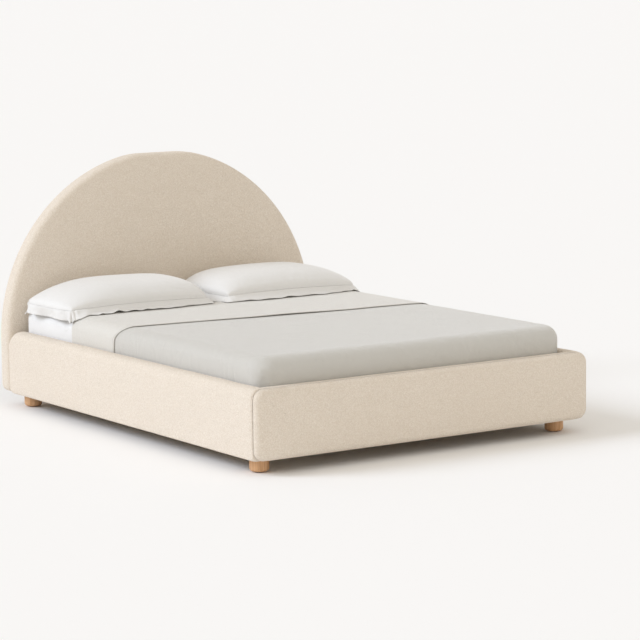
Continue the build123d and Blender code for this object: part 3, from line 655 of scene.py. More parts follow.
def line_points(start, end, way):
    """Points and one outward direction along a line, without its last point."""
    start, end = np.array(start, float), np.array(end, float)
    count = max(int(round(np.linalg.norm(end - start) / SPACING)), 1)
    shares = np.arange(count) / count
    return start + shares[:, None] * (end - start), np.tile(np.array(way, float), (count, 1))


def mirrored_outline(parts, top):
    """A right half's parts, closed at the top and mirrored, as points and outward directions."""
    places, ways = (np.concatenate(column) for column in zip(*parts))
    places, ways = np.vstack([places, [(0, top)]]), np.vstack([ways, [(0, 1)]])
    mirrored = np.array([-1, 1])
    return np.vstack([places, places[-2:0:-1] * mirrored]), np.vstack([ways, ways[-2:0:-1] * mirrored])


def rolled_edge(radius, face, inwards, angles):
    """Rings round a rolled edge, by their angles in degrees: each one's inset and its place from front to back."""
    return [(radius * (1 - math.sin(a)), face + inwards * radius * (1 - math.cos(a))) for a in np.radians(angles)]


def face_outwards(piece):
    """Turns the faces so that they all look out of a closed piece."""
    mesh = bmesh.new()
    mesh.from_mesh(piece.data)
    bmesh.ops.recalc_face_normals(mesh, faces=mesh.faces)
    mesh.to_mesh(piece.data)
    mesh.free()
    return piece


print("mesh helpers ready")

# %% [markdown]
# ## The headboard's padded cover
#
# On the real bed, foam is glued over a plywood face and round the rim, and a boucle cover is pulled over it and
# stapled at the back. Its outline is a half circle on short straight sides, with its top slightly flattened. The
# cover could be cut from a block, but the rolled edge and the gentle crown of the front are what make it look
# padded, so it is built from rings: from the hem at the back, round the rolled edge, and in to the middle of the
# front.

# %% Outline of the headboard
head_low, head_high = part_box("headboard_cover")
HALF_WIDTH = head_high.x
HEAD_FRONT, HEAD_BACK = head_low.y, head_high.y
RAIL_BOTTOM = head_low.z
ARCH_CENTRE = head_high.z - HALF_WIDTH + 0.011
HEAD_CORNER, CROWN_BLEND = 0.035, 0.450
HEAD_MIDDLE = np.array([0, 0.52])
FRONT_ROLL, BACK_ROLL, BACK_HEM = 0.028, 0.020, 0.060
SMALLEST_CORNER = 0.004


def headboard_outline():
    """Points round the headboard, from the bottom middle, with their outward directions."""
    top = head_high.z
    blend_x = math.sqrt((HALF_WIDTH - CROWN_BLEND) ** 2 - (top - CROWN_BLEND - ARCH_CENTRE) ** 2)
    touch = math.degrees(math.atan2(top - CROWN_BLEND - ARCH_CENTRE, blend_x))
    corner = (HALF_WIDTH - HEAD_CORNER, RAIL_BOTTOM + HEAD_CORNER)
    return mirrored_outline([
        line_points((0, RAIL_BOTTOM), (corner[0], RAIL_BOTTOM), (0, -1)),
        arc_points(corner, HEAD_CORNER, -90, 0, 8),
        line_points((HALF_WIDTH, corner[1]), (HALF_WIDTH, ARCH_CENTRE), (1, 0)),
        arc_points((0, ARCH_CENTRE), HALF_WIDTH, 0, touch, int(HALF_WIDTH * math.radians(touch) / SPACING)),
        arc_points((blend_x, top - CROWN_BLEND), CROWN_BLEND, touch, 90, 10),
        line_points((blend_x, top), (0, top), (0, 1)),
    ], top)


outline, outward = headboard_outline()


def drawn_in(inset):
    """The outline drawn in by an inset, with bottom corners that never get too sharp."""
    radius = max(HEAD_CORNER - inset, SMALLEST_CORNER)
    corners = outline - outward * HEAD_CORNER
    wide = (HALF_WIDTH - inset - radius) / (HALF_WIDTH - HEAD_CORNER)
    tall = (ARCH_CENTRE - RAIL_BOTTOM - inset - radius) / (ARCH_CENTRE - RAIL_BOTTOM - HEAD_CORNER)
    lower = np.stack([corners[:, 0] * wide, ARCH_CENTRE - (ARCH_CENTRE - corners[:, 1]) * tall], 1) + outward * radius
    return np.where((outline[:, 1] < ARCH_CENTRE)[:, None], lower, outline - outward * inset)


print("headboard outline:", len(outline), "points, width", round(2 * HALF_WIDTH, 3))

# %% Headboard upholstery
CORE_INSET, CORE_FRONT, CORE_BACK = 0.0207, HEAD_FRONT + 0.0277, HEAD_BACK - 0.003


def headboard_rings():
    """Each ring's inset from the outline and its place from front to back."""
    span = HEAD_BACK - BACK_ROLL - HEAD_FRONT - FRONT_ROLL
    return [(BACK_HEM, CORE_BACK), (BACK_HEM, HEAD_BACK), (0.045, HEAD_BACK), (0.032, HEAD_BACK),
            *rolled_edge(BACK_ROLL, HEAD_BACK, -1, np.linspace(0, 90, 7)),
            *((0, HEAD_BACK - BACK_ROLL - span * share) for share in (0.33, 0.66)),
            *rolled_edge(FRONT_ROLL, HEAD_FRONT, 1, np.linspace(90, 0, 10))]


def build_headboard():
    """The closed padded shell, hollow where the timber frame is."""
    points, rows = [], []
    for inset, y in headboard_rings():
        add_row(points, rows, ((x, y, z) for x, z in drawn_in(inset)))
    front = outline - outward * FRONT_ROLL
    for share in np.linspace(0, 1, 38)[1:-1]:
        add_row(points, rows, ((x, HEAD_FRONT, z) for x, z in front + (HEAD_MIDDLE - front) * share))
    points.append((HEAD_MIDDLE[0], HEAD_FRONT, HEAD_MIDDLE[1]))
    faces = join_rows(rows) + fan(rows[-1], len(points) - 1)
    shown = len(points)
    for y in (CORE_BACK, CORE_FRONT):
        add_row(points, rows, ((x, y, z) for x, z in outline - outward * CORE_INSET))
    points.append((HEAD_MIDDLE[0], CORE_FRONT, HEAD_MIDDLE[1]))
    faces += bridge(rows[-2], rows[0]) + bridge(rows[-1], rows[-2]) + fan(rows[-1], len(points) - 1, flip=True)
    points = np.array(points)
    depth_in = np.zeros(len(points))
    reach = np.min(np.linalg.norm(points[:shown, None, ::2][:, 0, :, None] - outline.T[None, :, ::3], axis=1), axis=1)
    depth_in[:shown] = reach
    front_face = (points[:, 1] < HEAD_FRONT + 0.0005) & (np.arange(len(points)) < shown)
    above_rails = ease((points[:, 2] - 0.36) / 0.10)
    crown = 0.0035 * ease((depth_in - FRONT_ROLL) / 0.12)
    sway = 0.0012 * unevenness(points, 0.22, 1) + 0.0006 * unevenness(points, 0.07, 2)
    inside = ease((depth_in - FRONT_ROLL) / 0.05)
    points[:, 1] -= np.where(front_face, above_rails * (crown + inside * sway), 0)
    return face_outwards(make_piece("headboard_upholstery", points, faces, [boucle_cover]))


headboard_upholstery = build_headboard()
print("headboard upholstery:", len(headboard_upholstery.data.polygons), "faces")

# %% [markdown]
# ## The padded rails
#
# Each side rail is a board with foam on its outside and top, and the cover wraps over it and ends above the slats.
# Its outer top edge is rolled, and its head end is rounded where it meets the headboard. A sweep of one outline
# along the rail makes this: the outline is a hook round the board, and it shrinks towards the rounded end. The foot
# rail is the same hook across the bed, behind a full-width panel whose rounded rim makes the seam that shows on each
# side.

# %% Outline helpers for the rails
RAIL_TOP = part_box("side_rail_right_cover")[1].z
INNER_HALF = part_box("side_rail_right_cover")[0].x
COVER = 0.003
BOARD_FIT = 0.0003
END_GAP = (0.001, 0.0012)
RAIL_STEP = 0.0125
FULLNESS, FULL_REACH = 0.0030, 0.13


def corner_arc(centre, radius, start, end, count):
    """Points along an arc, both ends included, in degrees."""
    angles = np.radians(np.linspace(start, end, count + 1))
    return [(centre[0] + radius * math.cos(a), centre[1] + radius * math.sin(a)) for a in angles]


def along_line(start, end, count):
    """Points along a line, without its ends."""
    shares = np.arange(1, count) / count
    return [(start[0] + (end[0] - start[0]) * s, start[1] + (end[1] - start[1]) * s) for s in shares]


def hook_outline(inner, outer, low, high, rolls, board, hem):
    """A padded rail's outline round its board: u runs outwards and v upwards."""
    inner_roll, top_roll, low_roll = rolls
    board_low, board_high, board_outer = board
    points = [(inner + COVER, hem), (inner, hem)]
    points += along_line((inner, hem), (inner, high - inner_roll), 8)
    points += corner_arc((inner + inner_roll, high - inner_roll), inner_roll, 180, 90, 5)
    points += along_line((inner + inner_roll, high), (outer - top_roll, high), 3)
    points += corner_arc((outer - top_roll, high - top_roll), top_roll, 90, 0, 10)
    points += along_line((outer, high - top_roll), (outer, low + low_roll), 18)
    points += corner_arc((outer - low_roll, low + low_roll), low_roll, 0, -90, 6)
    points += along_line((outer - low_roll, low), (inner + COVER, low), 4)
    shown = len(points)
    points += [(inner + COVER, low), (inner + COVER, board_low), (board_outer, board_low), (board_outer, board_high),
               (inner + COVER, board_high)]
    return np.array(points), shown


def rail_padding(points, middle, sway, seed):
    """How far the padding stands out: most at half the rail's height, and unevenly."""
    fullness = FULLNESS * np.clip(1 - ((points[:, 2] - middle) / FULL_REACH) ** 2, 0, 1)
    return fullness + (sway * unevenness(points, 0.20, seed) + 0.0005 * unevenness(points, 0.06, seed + 1))


print("rail top at", round(RAIL_TOP, 3), "inner face at", round(INNER_HALF, 3))

# %% Side rails
RAIL_ROLLS = (0.010, 0.035, 0.012)
RAIL_HEM = 0.205
HEAD_TOP_ROUND, HEAD_LOW_ROUND, HEAD_PLAN_ROUND, FOOT_PLAN_ROUND = 0.065, 0.030, 0.009, 0.010


def rounded_end(distance, radius):
    """How far a rounded corner has drawn in, at a distance from the end."""
    inside = np.clip(radius - distance, 0, radius)
    return radius - math.sqrt(max(radius * radius - inside * inside, 0))


def build_side_rail(side, name):
    """One side rail's foam and cover as one padded piece."""
    low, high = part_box(f"side_rail_{name}_cover")
    board_low, board_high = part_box(f"side_rail_{name}_board")
    start, end = low.y, high.y
    outer = HALF_WIDTH
    board_outer = max(abs(board_low.x), abs(board_high.x)) + BOARD_FIT
    end_steps = 0.065 * (1 - np.cos(np.radians(np.linspace(0, 90, 12))))
    stations = [start + step for step in (0, 0.0008, 0.0025, 0.006)]
    stations += list(np.arange(start + 0.018, end - 0.070, RAIL_STEP))
    stations += [end - step for step in end_steps[::-1]]
    points, rows, hooks = [], [], []
    for y in stations:
        to_end, to_start = end - y, y - start
        top = high.z - rounded_end(to_end, HEAD_TOP_ROUND) - rounded_end(to_start, FOOT_PLAN_ROUND)
        bottom = low.z + rounded_end(to_end, HEAD_LOW_ROUND)
        edge = outer - rounded_end(to_end, HEAD_PLAN_ROUND) - rounded_end(to_start, FOOT_PLAN_ROUND)
        board_top = board_high.z + BOARD_FIT - rounded_end(to_end - COVER, HEAD_TOP_ROUND - 0.015)
        board_foot = board_low.z - BOARD_FIT + rounded_end(to_end - COVER, HEAD_LOW_ROUND - COVER)
        closed = to_end < COVER or to_start < COVER
        board = (board_foot, board_top, board_outer)
        if closed:
            board = (bottom + END_GAP[0], bottom + END_GAP[1], INNER_HALF + COVER)
        plan, shown = hook_outline(INNER_HALF, edge, bottom, top, RAIL_ROLLS, board, RAIL_HEM)
        add_row(points, rows, ((side * u, y, v) for u, v in plan))
        hooks.extend(place < shown for place in range(len(plan)))
    faces = join_rows(rows) + [tuple(rows[0]), tuple(rows[-1])]
    points, hooks = np.array(points), np.array(hooks)
    from_ends = ease((points[:, 1] - start) / 0.05) * ease((end - points[:, 1]) / 0.12)
    outside = hooks & (np.abs(points[:, 0]) > outer - 0.012)
    padding = rail_padding(points, (high.z + low.z) / 2, 0.0011, 3)
    points[:, 0] += side * np.where(outside, from_ends * padding, 0)
    on_top = hooks & (points[:, 2] > high.z - 0.012) & (np.abs(points[:, 0]) > INNER_HALF + 0.002)
    points[:, 2] += np.where(on_top, from_ends * (0.0012 * unevenness(points, 0.17, 5) + 0.0006), 0)
    return face_outwards(make_piece(f"side_rail_{name}_upholstery", points, faces, [boucle_cover]))


side_upholstery = {name: build_side_rail(side, name) for name, side in (("left", -1), ("right", 1))}
print("side rails:", [len(piece.data.polygons) for piece in side_upholstery.values()], "faces")

# %% Foot rail
PANEL_THICKNESS, PANEL_CORNER, PANEL_FRONT_ROLL, PANEL_BACK_ROLL = 0.030, 0.045, 0.025, 0.009
FOOT_INNER_HALF = INNER_HALF - 0.001
HOOK_ROLLS = (0.010, 0.004, 0.004)


def build_foot_rail():
    """The full-width foot panel and the hooked part between the side rails, as one padded piece."""
    low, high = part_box("foot_rail_cover")
    front, back = low.y, low.y + PANEL_THICKNESS
    half, bottom, top = HALF_WIDTH, low.z, high.z
    r = PANEL_CORNER
    rim, ways = mirrored_outline([
        line_points((0, bottom), (half - r, bottom), (0, -1)),
        arc_points((half - r, bottom + r), r, -90, 0, 8),
        line_points((half, bottom + r), (half, top - r), (1, 0)),
        arc_points((half - r, top - r), r, 0, 90, 8),
        line_points((half - r, top), (0, top), (0, 1)),
    ], top)
    points, rows = [], []
    for inset, y in [(0.02, back), (PANEL_BACK_ROLL, back),
                     *rolled_edge(PANEL_BACK_ROLL, back, -1, np.linspace(30, 90, 3)),
                     *rolled_edge(PANEL_FRONT_ROLL, front, 1, np.linspace(90, 0, 10))]:
        add_row(points, rows, ((x, y, z) for x, z in rim - ways * inset))
    inner = rim - ways * PANEL_FRONT_ROLL
    for share in np.linspace(0, 1, 11)[1:]:
        plan = np.stack([inner[:, 0], inner[:, 1] + ((bottom + top) / 2 - inner[:, 1]) * share], 1)
        squeeze = np.clip(np.abs(inner[:, 0]) - (half - 0.16 * share - PANEL_FRONT_ROLL), 0, None)
        plan[:, 0] -= np.sign(inner[:, 0]) * squeeze
        add_row(points, rows, ((x, front, z) for x, z in plan))
    faces = join_rows(rows) + [tuple(rows[0])]
    panel_count = len(points)
    board_low, board_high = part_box("foot_rail_board")
    end_steps = [0, 0.003, 0.0035] + list(np.arange(0.014, FOOT_INNER_HALF, RAIL_STEP))
    crossings = [-FOOT_INNER_HALF + step for step in end_steps] + [FOOT_INNER_HALF - step for step in end_steps[::-1]]
    hooks, depth = [], -(front + 0.012)
    for x in crossings:
        closed = FOOT_INNER_HALF - abs(x) < COVER
        board = (board_low.z - BOARD_FIT, board_high.z + BOARD_FIT, -board_low.y + BOARD_FIT)
        if closed:
            board = (bottom + END_GAP[0], bottom + END_GAP[1], -high.y + COVER)
        plan, _ = hook_outline(-high.y, depth, bottom + 0.0004, top - 0.0004, HOOK_ROLLS, board, RAIL_HEM)
        add_row(points, hooks, ((x, -u, v) for u, v in plan))
    faces += join_rows(hooks) + [tuple(hooks[0]), tuple(hooks[-1])]
    points = np.array(points)
    face = (points[:, 1] < front + 0.004) & (np.arange(len(points)) < panel_count)
    from_edge = np.minimum(half - np.abs(points[:, 0]), np.minimum(points[:, 2] - bottom, top - points[:, 2]))
    padding = rail_padding(points, (bottom + top) / 2, 0.0012, 6)
    points[:, 1] -= np.where(face, ease((from_edge - 0.02) / 0.05) * padding, 0)
    return face_outwards(make_piece("foot_rail_upholstery", points, faces, [boucle_cover]))


foot_upholstery = build_foot_rail()
print("foot rail:", len(foot_upholstery.data.polygons), "faces")

# %% Where the upholstery belongs
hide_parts("headboard_cover", "headboard_foam")
for name, piece in side_upholstery.items():
    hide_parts(f"side_rail_{name}_cover", f"side_rail_{name}_foam")
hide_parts("foot_rail_cover", "foot_rail_foam")
for piece in (headboard_upholstery, foot_upholstery, *side_upholstery.values()):
    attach(piece, "bed_frame")
print("upholstery rides on the frame")

# %% [markdown]
# ## Back cloth, slat straps and felt glides
#
# The thin lining that closes the headboard's back is a flat cloth stretched inside the cover's hem. The straps under
# the slats are woven webbing, and a round felt glide is glued under each leg. All are small, but they show from
# behind and from below.

# %% Back cloth


def build_back_cloth():
    """The lining inside the headboard's hem, with faint sags between its staples."""
    low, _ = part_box("headboard_back_cloth")
    rim, y = drawn_in(BACK_HEM + 0.0008), low.y + 0.0004
    points, rows = [], []
    for share in np.linspace(0, 1, 26)[:-1]:
        add_row(points, rows, ((x, y, z) for x, z in rim + (HEAD_MIDDLE - rim) * share))
    points.append((HEAD_MIDDLE[0], y, HEAD_MIDDLE[1]))
    faces = join_rows(rows, flip=True) + fan(rows[-1], len(points) - 1, flip=True)
    points = np.array(points)
    places = np.stack([points[:, 0], points[:, 2], np.zeros(len(points))], 1)
    points[:, 1] += 0.0005 + 0.0003 * unevenness(points, 0.15, 8)
    return make_piece("headboard_back_lining", points, faces, [back_lining], places=places)


back_cloth_piece = build_back_cloth()
lining_solid = back_cloth_piece.modifiers.new("thickness", "SOLIDIFY")
lining_solid.thickness = 0.0006
lining_solid.offset = 0
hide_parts("headboard_back_cloth")
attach(back_cloth_piece, "bed_frame")
print("back cloth:", len(back_cloth_piece.data.polygons), "faces")

# %% Slat straps and glides
STRAP_WIDTH, STRAP_ROUNDING = 0.025, 0.0006
GLIDE_RADIUS = 0.022
GLIDE_PROFILE = ((0.012, 0), (0.0012, 0), (0.0002, 0.3), (0, 0.6), (0.0006, 0.9), (0.0016, 1), (0.012, 1))


def build_straps(node):
    """Two webbing straps under one roll of slats, with rounded edges."""
    low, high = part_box(node)
    width, rounding = STRAP_WIDTH, STRAP_ROUNDING
    section = ((rounding, 0), (0, 0.3), (0, 0.7), (rounding, 1), (width / 2, 1), (width - rounding, 1),
               (width, 0.7), (width, 0.3), (width - rounding, 0), (width / 2, 0))
    points, faces, places = [], [], []
    for x_low in (low.x, high.x - width):
        rows = []
        for y in np.linspace(low.y, high.y, 90):
            add_row(points, rows, ((x_low + u, y, low.z + (high.z - low.z) * v) for u, v in section))
            places.extend((u, y, 0) for u, v in section)
        faces += join_rows(rows) + [tuple(rows[0]), tuple(rows[-1])]
    return face_outwards(make_piece(f"{node}_webbing", points, faces, [strap_webbing], places=places))


def build_glides():
    """A felt pad under each leg, slightly squashed."""
    low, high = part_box("leg_glides")
    turns = np.linspace(0, 2 * math.pi, 49)[:-1]
    points, faces = [], []
    for x in (low.x + GLIDE_RADIUS, high.x - GLIDE_RADIUS):
        for y in (low.y + GLIDE_RADIUS, high.y - GLIDE_RADIUS):
            rows = []
            for inset, share in GLIDE_PROFILE:
                reach, z = GLIDE_RADIUS - inset, low.z + (high.z - low.z) * share
                add_row(points, rows, ((x + reach * math.cos(a), y + reach * math.sin(a), z) for a in turns))
            faces += join_rows(rows) + [tuple(rows[0]), tuple(rows[-1])]
    return face_outwards(make_piece("leg_glide_pads", points, faces, [glide_felt]))


for roll in ("foot", "head"):
    straps = build_straps(f"slat_straps_{roll}")
    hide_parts(f"slat_straps_{roll}")
    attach(straps, "bed_frame")
glides = build_glides()
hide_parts("leg_glides")
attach(glides, "bed_frame")
print("straps and glides made")

# %% [markdown]
# ## The mattress and the cloth over it
#
# Mattress, fitted sheet and coverlet all follow one rounded form: a flat top, a rolled edge and upright sides with
# rounded corners. One set of rows is laid out for that form, a grid on top and rings down the sides, and each layer
# is the same form grown a little. That keeps the layers apart everywhere, which matters because they move together
# when the mattress is lifted out.

# %% Rows of the mattress form
mattress_low, mattress_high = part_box("mattress")
coverlet_low, coverlet_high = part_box("coverlet")
FORM_CORNER, FORM_ROLL = 0.070, 0.054
FOLD_LINE = coverlet_high.y
CORNER_STEPS = 10
TOP_STEP = 0.016


def spaced(low, high, step):
    """Evenly spaced places from low to high, both included."""
    return np.linspace(low, high, max(int(round((high - low) / step)), 1) + 1)


straight_x = spaced(mattress_low.x + FORM_CORNER, mattress_high.x - FORM_CORNER, TOP_STEP)
straight_y = np.concatenate([
    spaced(mattress_low.y + FORM_CORNER, FOLD_LINE, TOP_STEP),
    spaced(FOLD_LINE, mattress_high.y - FORM_CORNER, TOP_STEP)[1:],
])


def form_ring(radius):
    """The four sides of the form's plan, each from the left or foot end, at a corner radius."""
    x_low, x_high, y_low, y_high = straight_x[0], straight_x[-1], straight_y[0], straight_y[-1]
    half_steps = CORNER_STEPS // 2

    def arc(cx, cy, start, end):
        angles = np.radians(np.linspace(start, end, half_steps + 1))
        return np.stack([cx + radius * np.cos(angles), cy + radius * np.sin(angles)], 1)

    def side_x(y, first, last):
        line = np.stack([straight_x, np.full(len(straight_x), y)], 1)
        return np.vstack([first[:-1], line, last[1:]])

    def side_y(x, first, last):
        line = np.stack([np.full(len(straight_y), x), straight_y], 1)
        return np.vstack([first[:-1], line, last[1:]])

    foot = side_x(y_low - radius, arc(x_low, y_low, 225, 270), arc(x_high, y_low, 270, 315))
    head = side_x(y_high + radius, arc(x_low, y_high, 135, 90), arc(x_high, y_high, 90, 45))
    left = side_y(x_low - radius, arc(x_low, y_low, 225, 180), arc(x_low, y_high, 180, 135))
    right_side = side_y(x_high + radius, arc(x_high, y_low, -45, 0), arc(x_high, y_high, 0, 45))
    return foot, right_side, head, left


def whole_ring(radius):
    """The form's plan as one closed row, from the foot's left corner round by the right."""
    foot, right_side, head, left = form_ring(radius)
    return np.vstack([foot[:-1], right_side[:-1], head[:0:-1], left[:0:-1]])


def top_grid(radius):
    """The flat top as a grid of points, fitted between its four curved sides."""
    foot, right_side, head, left = form_ring(radius)
    across = (foot[:, 0] - foot[0, 0]) / (foot[-1, 0] - foot[0, 0])
    along = (left[:, 1] - left[0, 1]) / (left[-1, 1] - left[0, 1])
    u, v = across[None, :, None], along[:, None, None]
    grid = (1 - v) * foot[None] + v * head[None] + (1 - u) * left[:, None] + u * right_side[:, None]
    corners_part = ((1 - u) * (1 - v) * foot[0] + u * (1 - v) * foot[-1] + (1 - u) * v * head[0] + u * v * head[-1])
    return grid - corners_part


COLUMNS, ROWS = len(form_ring(0.02)[0]), len(form_ring(0.02)[3])
print("mattress form:", COLUMNS, "by", ROWS, "points on top")

# %% The form as points, faces and flat cloth places


def form_levels(growth, bottom, step=0.016):
    """Each ring below the top: its corner radius, its height and its distance down the cloth."""
    flat = FORM_CORNER - FORM_ROLL
    roll = FORM_ROLL + growth
    top = mattress_high.z + growth
    levels = []
    for angle in np.radians(np.linspace(0, 90, 9))[1:]:
        levels.append((flat + roll * math.sin(angle), top - roll * (1 - math.cos(angle)), roll * angle))
    for z in spaced(bottom, top - roll, step)[::-1][1:]:
        levels.append((flat + roll, z, roll * math.pi / 2 + top - roll - z))
    return levels


def form_shell(growth, bottom):
    """The whole form: points, outward directions, cloth places, faces and rows."""
    flat = FORM_CORNER - FORM_ROLL
    grid = top_grid(flat)
    top = mattress_high.z + growth
    points = [(x, y, top) for row in grid for x, y in row]
    normals = [(0, 0, 1)] * len(points)
    places = [(x, y, 0) for row in grid for x, y in row]
    number = np.arange(ROWS * COLUMNS).reshape(ROWS, COLUMNS)
    base, ways = whole_ring(flat), whole_ring(flat + 1) - whole_ring(flat)
    ways = ways / np.linalg.norm(ways, axis=1)[:, None]
    rows = [grid_rim(number)]
    for radius, z, distance in form_levels(growth, bottom):
        tilt = min(distance / (FORM_ROLL + growth), math.pi / 2)
        add_row(points, rows, ((x, y, z) for x, y in whole_ring(radius)))
        normals.extend((wx * math.sin(tilt), wy * math.sin(tilt), math.cos(tilt)) for wx, wy in ways)
        places.extend((bx + wx * distance, by + wy * distance, 0) for (bx, by), (wx, wy) in zip(base, ways))
    faces = grid_faces(number) + join_rows(rows, flip=True)
    return np.array(points), np.array(normals), np.array(places), faces, number, rows


points, normals, places, faces, number, rows = form_shell(0.001, 0.215)
print("form shell:", len(points), "points in", len(rows), "rings")

# %% Mattress
BOTTOM_ROLL = 0.015


def build_mattress():
    """The mattress, with a rolled edge round its top and a tighter one round its bottom."""
    bottom = mattress_low.z
    points, _, places, faces, _, rows = form_shell(-0.0003, bottom + BOTTOM_ROLL)
    points, places = list(map(tuple, points)), list(map(tuple, places))
    for angle in np.radians(np.linspace(0, 90, 5))[1:]:
        plan = whole_ring(FORM_CORNER - BOTTOM_ROLL * (1 - math.cos(angle)))
        z = bottom + BOTTOM_ROLL * (1 - math.sin(angle))
        add_row(points, rows, ((x, y, z) for x, y in plan))
        places.extend((x, y, 0) for x, y in whole_ring(FORM_CORNER + 0.25 + BOTTOM_ROLL * angle))
        faces.extend(bridge(rows[-1], rows[-2]))
    base = top_grid(FORM_CORNER - BOTTOM_ROLL - 0.001)
    under = np.arange(ROWS * COLUMNS).reshape(ROWS, COLUMNS) + len(points)
    points.extend((x, y, bottom) for row in base for x, y in row)
    places.extend((x, y + 3, 0) for row in base for x, y in row)
    faces += grid_faces(under, upwards=False) + bridge(grid_rim(under), rows[-1])
    return face_outwards(make_piece("mattress_body", points, faces, [mattress_ticking], places=places))


mattress_piece = build_mattress()
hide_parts("mattress")
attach(mattress_piece, "mattress")
print("mattress:", len(mattress_piece.data.polygons), "faces")

# %% Fitted sheet


def settle(piece):
    """Applies a piece's modifiers to its mesh."""
    shown = piece.evaluated_get(bpy.context.evaluated_depsgraph_get())
    mesh = bpy.data.meshes.new_from_object(shown)
    piece.modifiers.clear()
    old = piece.data
    piece.data = mesh
    bpy.data.meshes.remove(old)
    mesh.shade_smooth()
    return piece


def thicken(piece, thickness):
    """Gives a sheet its thickness, inwards from its outside."""
    solid = piece.modifiers.new("thickness", "SOLIDIFY")
    solid.thickness = thickness
    solid.offset = -1
    bpy.context.view_layer.update()
    return settle(piece)


def build_fitted_sheet():
    """The fitted sheet, pulled tight on top and a little loose down the sides."""
    points, normals, places, faces, _, _ = form_shell(0.0012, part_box("fitted_sheet")[0].z)
    down = np.clip((mattress_high.z - 0.03 - points[:, 2]) / 0.15, 0, 1)
    on_side = 1 - np.abs(normals[:, 2])
    slack = 0.0012 * unevenness(points * np.array([1, 1, 0.25]), 0.045, 11)
    slack += 0.0010 * unevenness(points * np.array([1, 1, 0.4]), 0.11, 12)
    lift = np.clip(on_side * ease(down * 1.5) * (slack + 0.0008), -0.0006, 0.0022)
    lift += (1 - on_side) * np.clip(0.0006 * unevenness(points, 0.12, 13), -0.0004, 0.0006)
    points = points + normals * lift[:, None]
    piece = make_piece("fitted_sheet_cloth", points, faces, [sheet_cotton], places=places)
    return thicken(piece, 0.0007)


fitted_sheet_piece = build_fitted_sheet()
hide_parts("fitted_sheet")
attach(fitted_sheet_piece, "mattress")
print("fitted sheet:", len(fitted_sheet_piece.data.polygons), "faces")

# %% [markdown]
# ## The coverlet
#
# The grey coverlet lies over the mattress and is tucked between it and the rails. Its head end is folded back, so
# its lighter reverse shows as a wide flap whose edge runs slightly askew. It could be dropped on by simulation, but
# a tucked and smoothed coverlet hardly folds, so it is laid out on the mattress form, with a turned nose at the
# fold, a lapped crease at each foot corner and slow ripples. It is one cloth: the lower layer, the nose and the
# flap share their points.

# %% Coverlet
LOWER_GROWTH, FLAP_GROWTH = 0.0042, 0.0064
TUCK_BOTTOM = coverlet_low.z
CLOTH = 0.0019
NOSE, HEM_WIDTH = 0.006, 0.014
RIPPLE_LIMITS = (-0.0022, 0.0020)
LAP_DEPTH, LAP_OUTSIDE, LAP_INSIDE = 0.0026, 0.030, 0.012
FOLD_ROW = int(np.argmin(np.abs(form_ring(0.02)[3][:, 1] - FOLD_LINE)))
FLAP_ROWS = 42


def ripple(points, normals):
    """Slow ripples on top and small ones on the sides, the same for both layers."""
    upward = np.clip(normals[:, 2], 0, 1)
    flat_place = points * np.array([1, 1, 0])
    slow = 0.0016 * unevenness(flat_place, 0.34, 21) + 0.0008 * unevenness(flat_place, 0.13, 22)
    drawn = 0.0007 * unevenness(flat_place * np.array([0.35, 1, 1]), 0.05, 23)
    side = 0.0007 * unevenness(points * np.array([1, 1, 0.3]), 0.06, 24)
    return np.clip(upward * (slow + drawn) + (1 - upward) * side, *RIPPLE_LIMITS)


def corner_tuck(points, normals):
    """The lapped crease at each foot corner, where the spare cloth is folded in: a step that runs down the corner."""
    tuck = np.zeros(len(points))
    for side in (-1, 1):
        along = points[:, 0] * side
        corner_x = mattress_high.x - 0.020
        from_crease = along - corner_x - 0.10 * np.clip(mattress_high.z - 0.05 - points[:, 2], 0, 1)
        at_front = ease((mattress_low.y + 0.075 - points[:, 1]) / 0.02)
        lap = np.where(from_crease > 0, np.exp(-from_crease / LAP_OUTSIDE), -0.5 * np.exp(from_crease / LAP_INSIDE))
        tuck += at_front * (along > 0) * ease((mattress_high.z - 0.012 - points[:, 2]) / 0.04) * LAP_DEPTH * lap
    return tuck * (1 - np.clip(normals[:, 2], 0, 1))


def flap_edge(across):
    """Where the flap's edge lies along the bed, by its distance across the cloth from the middle."""
    knots = [(-1.00, 0.146), (-0.80, 0.143), (-0.78, 0.139), (-0.765, 0.127), (-0.75, 0.101), (-0.735, 0.075),
             (-0.70, 0.060), (-0.60, 0.056), (-0.40, 0.033), (-0.20, 0.001), (0.0, -0.022), (0.30, -0.046),
             (0.60, -0.066), (0.76, -0.090), (1.00, -0.112)]
    spread = np.linspace(-0.03, 0.03, 9)
    return np.mean([np.interp(across + shift, [k[0] for k in knots], [k[1] for k in knots]) for shift in spread], 0)


def across_fold(number, rows):
    """The point numbers across a form at the fold, from the left tuck to the right."""
    left_end, right_end = len(rows[0]) - FOLD_ROW, COLUMNS - 1 + FOLD_ROW
    return [row[left_end] for row in rows[:0:-1]] + list(number[FOLD_ROW]) + [row[right_end] for row in rows[1:]]


def flap_row(upper, normals, across, edge, share):
    """One row of the flap, at a share of the way from the fold to its edge: puffed at the fold, curled at the edge."""
    row = upper.copy()
    row[:, 1] = FOLD_LINE + (edge - FOLD_LINE) * share
    upward = np.clip(normals[:, 2], 0, 1)
    plump = 0.0012 + 0.0026 * np.exp(-((across + 0.02) / 0.26) ** 2)
    curl = plump * ease((share - 0.86) / 0.14) * (0.75 + 0.5 * unevenness(row, 0.16, 31)) * upward
    puff = 0.0035 * ease(1 - share / 0.06) * upward
    return row + normals * (ripple(row, normals) + curl + puff)[:, None]


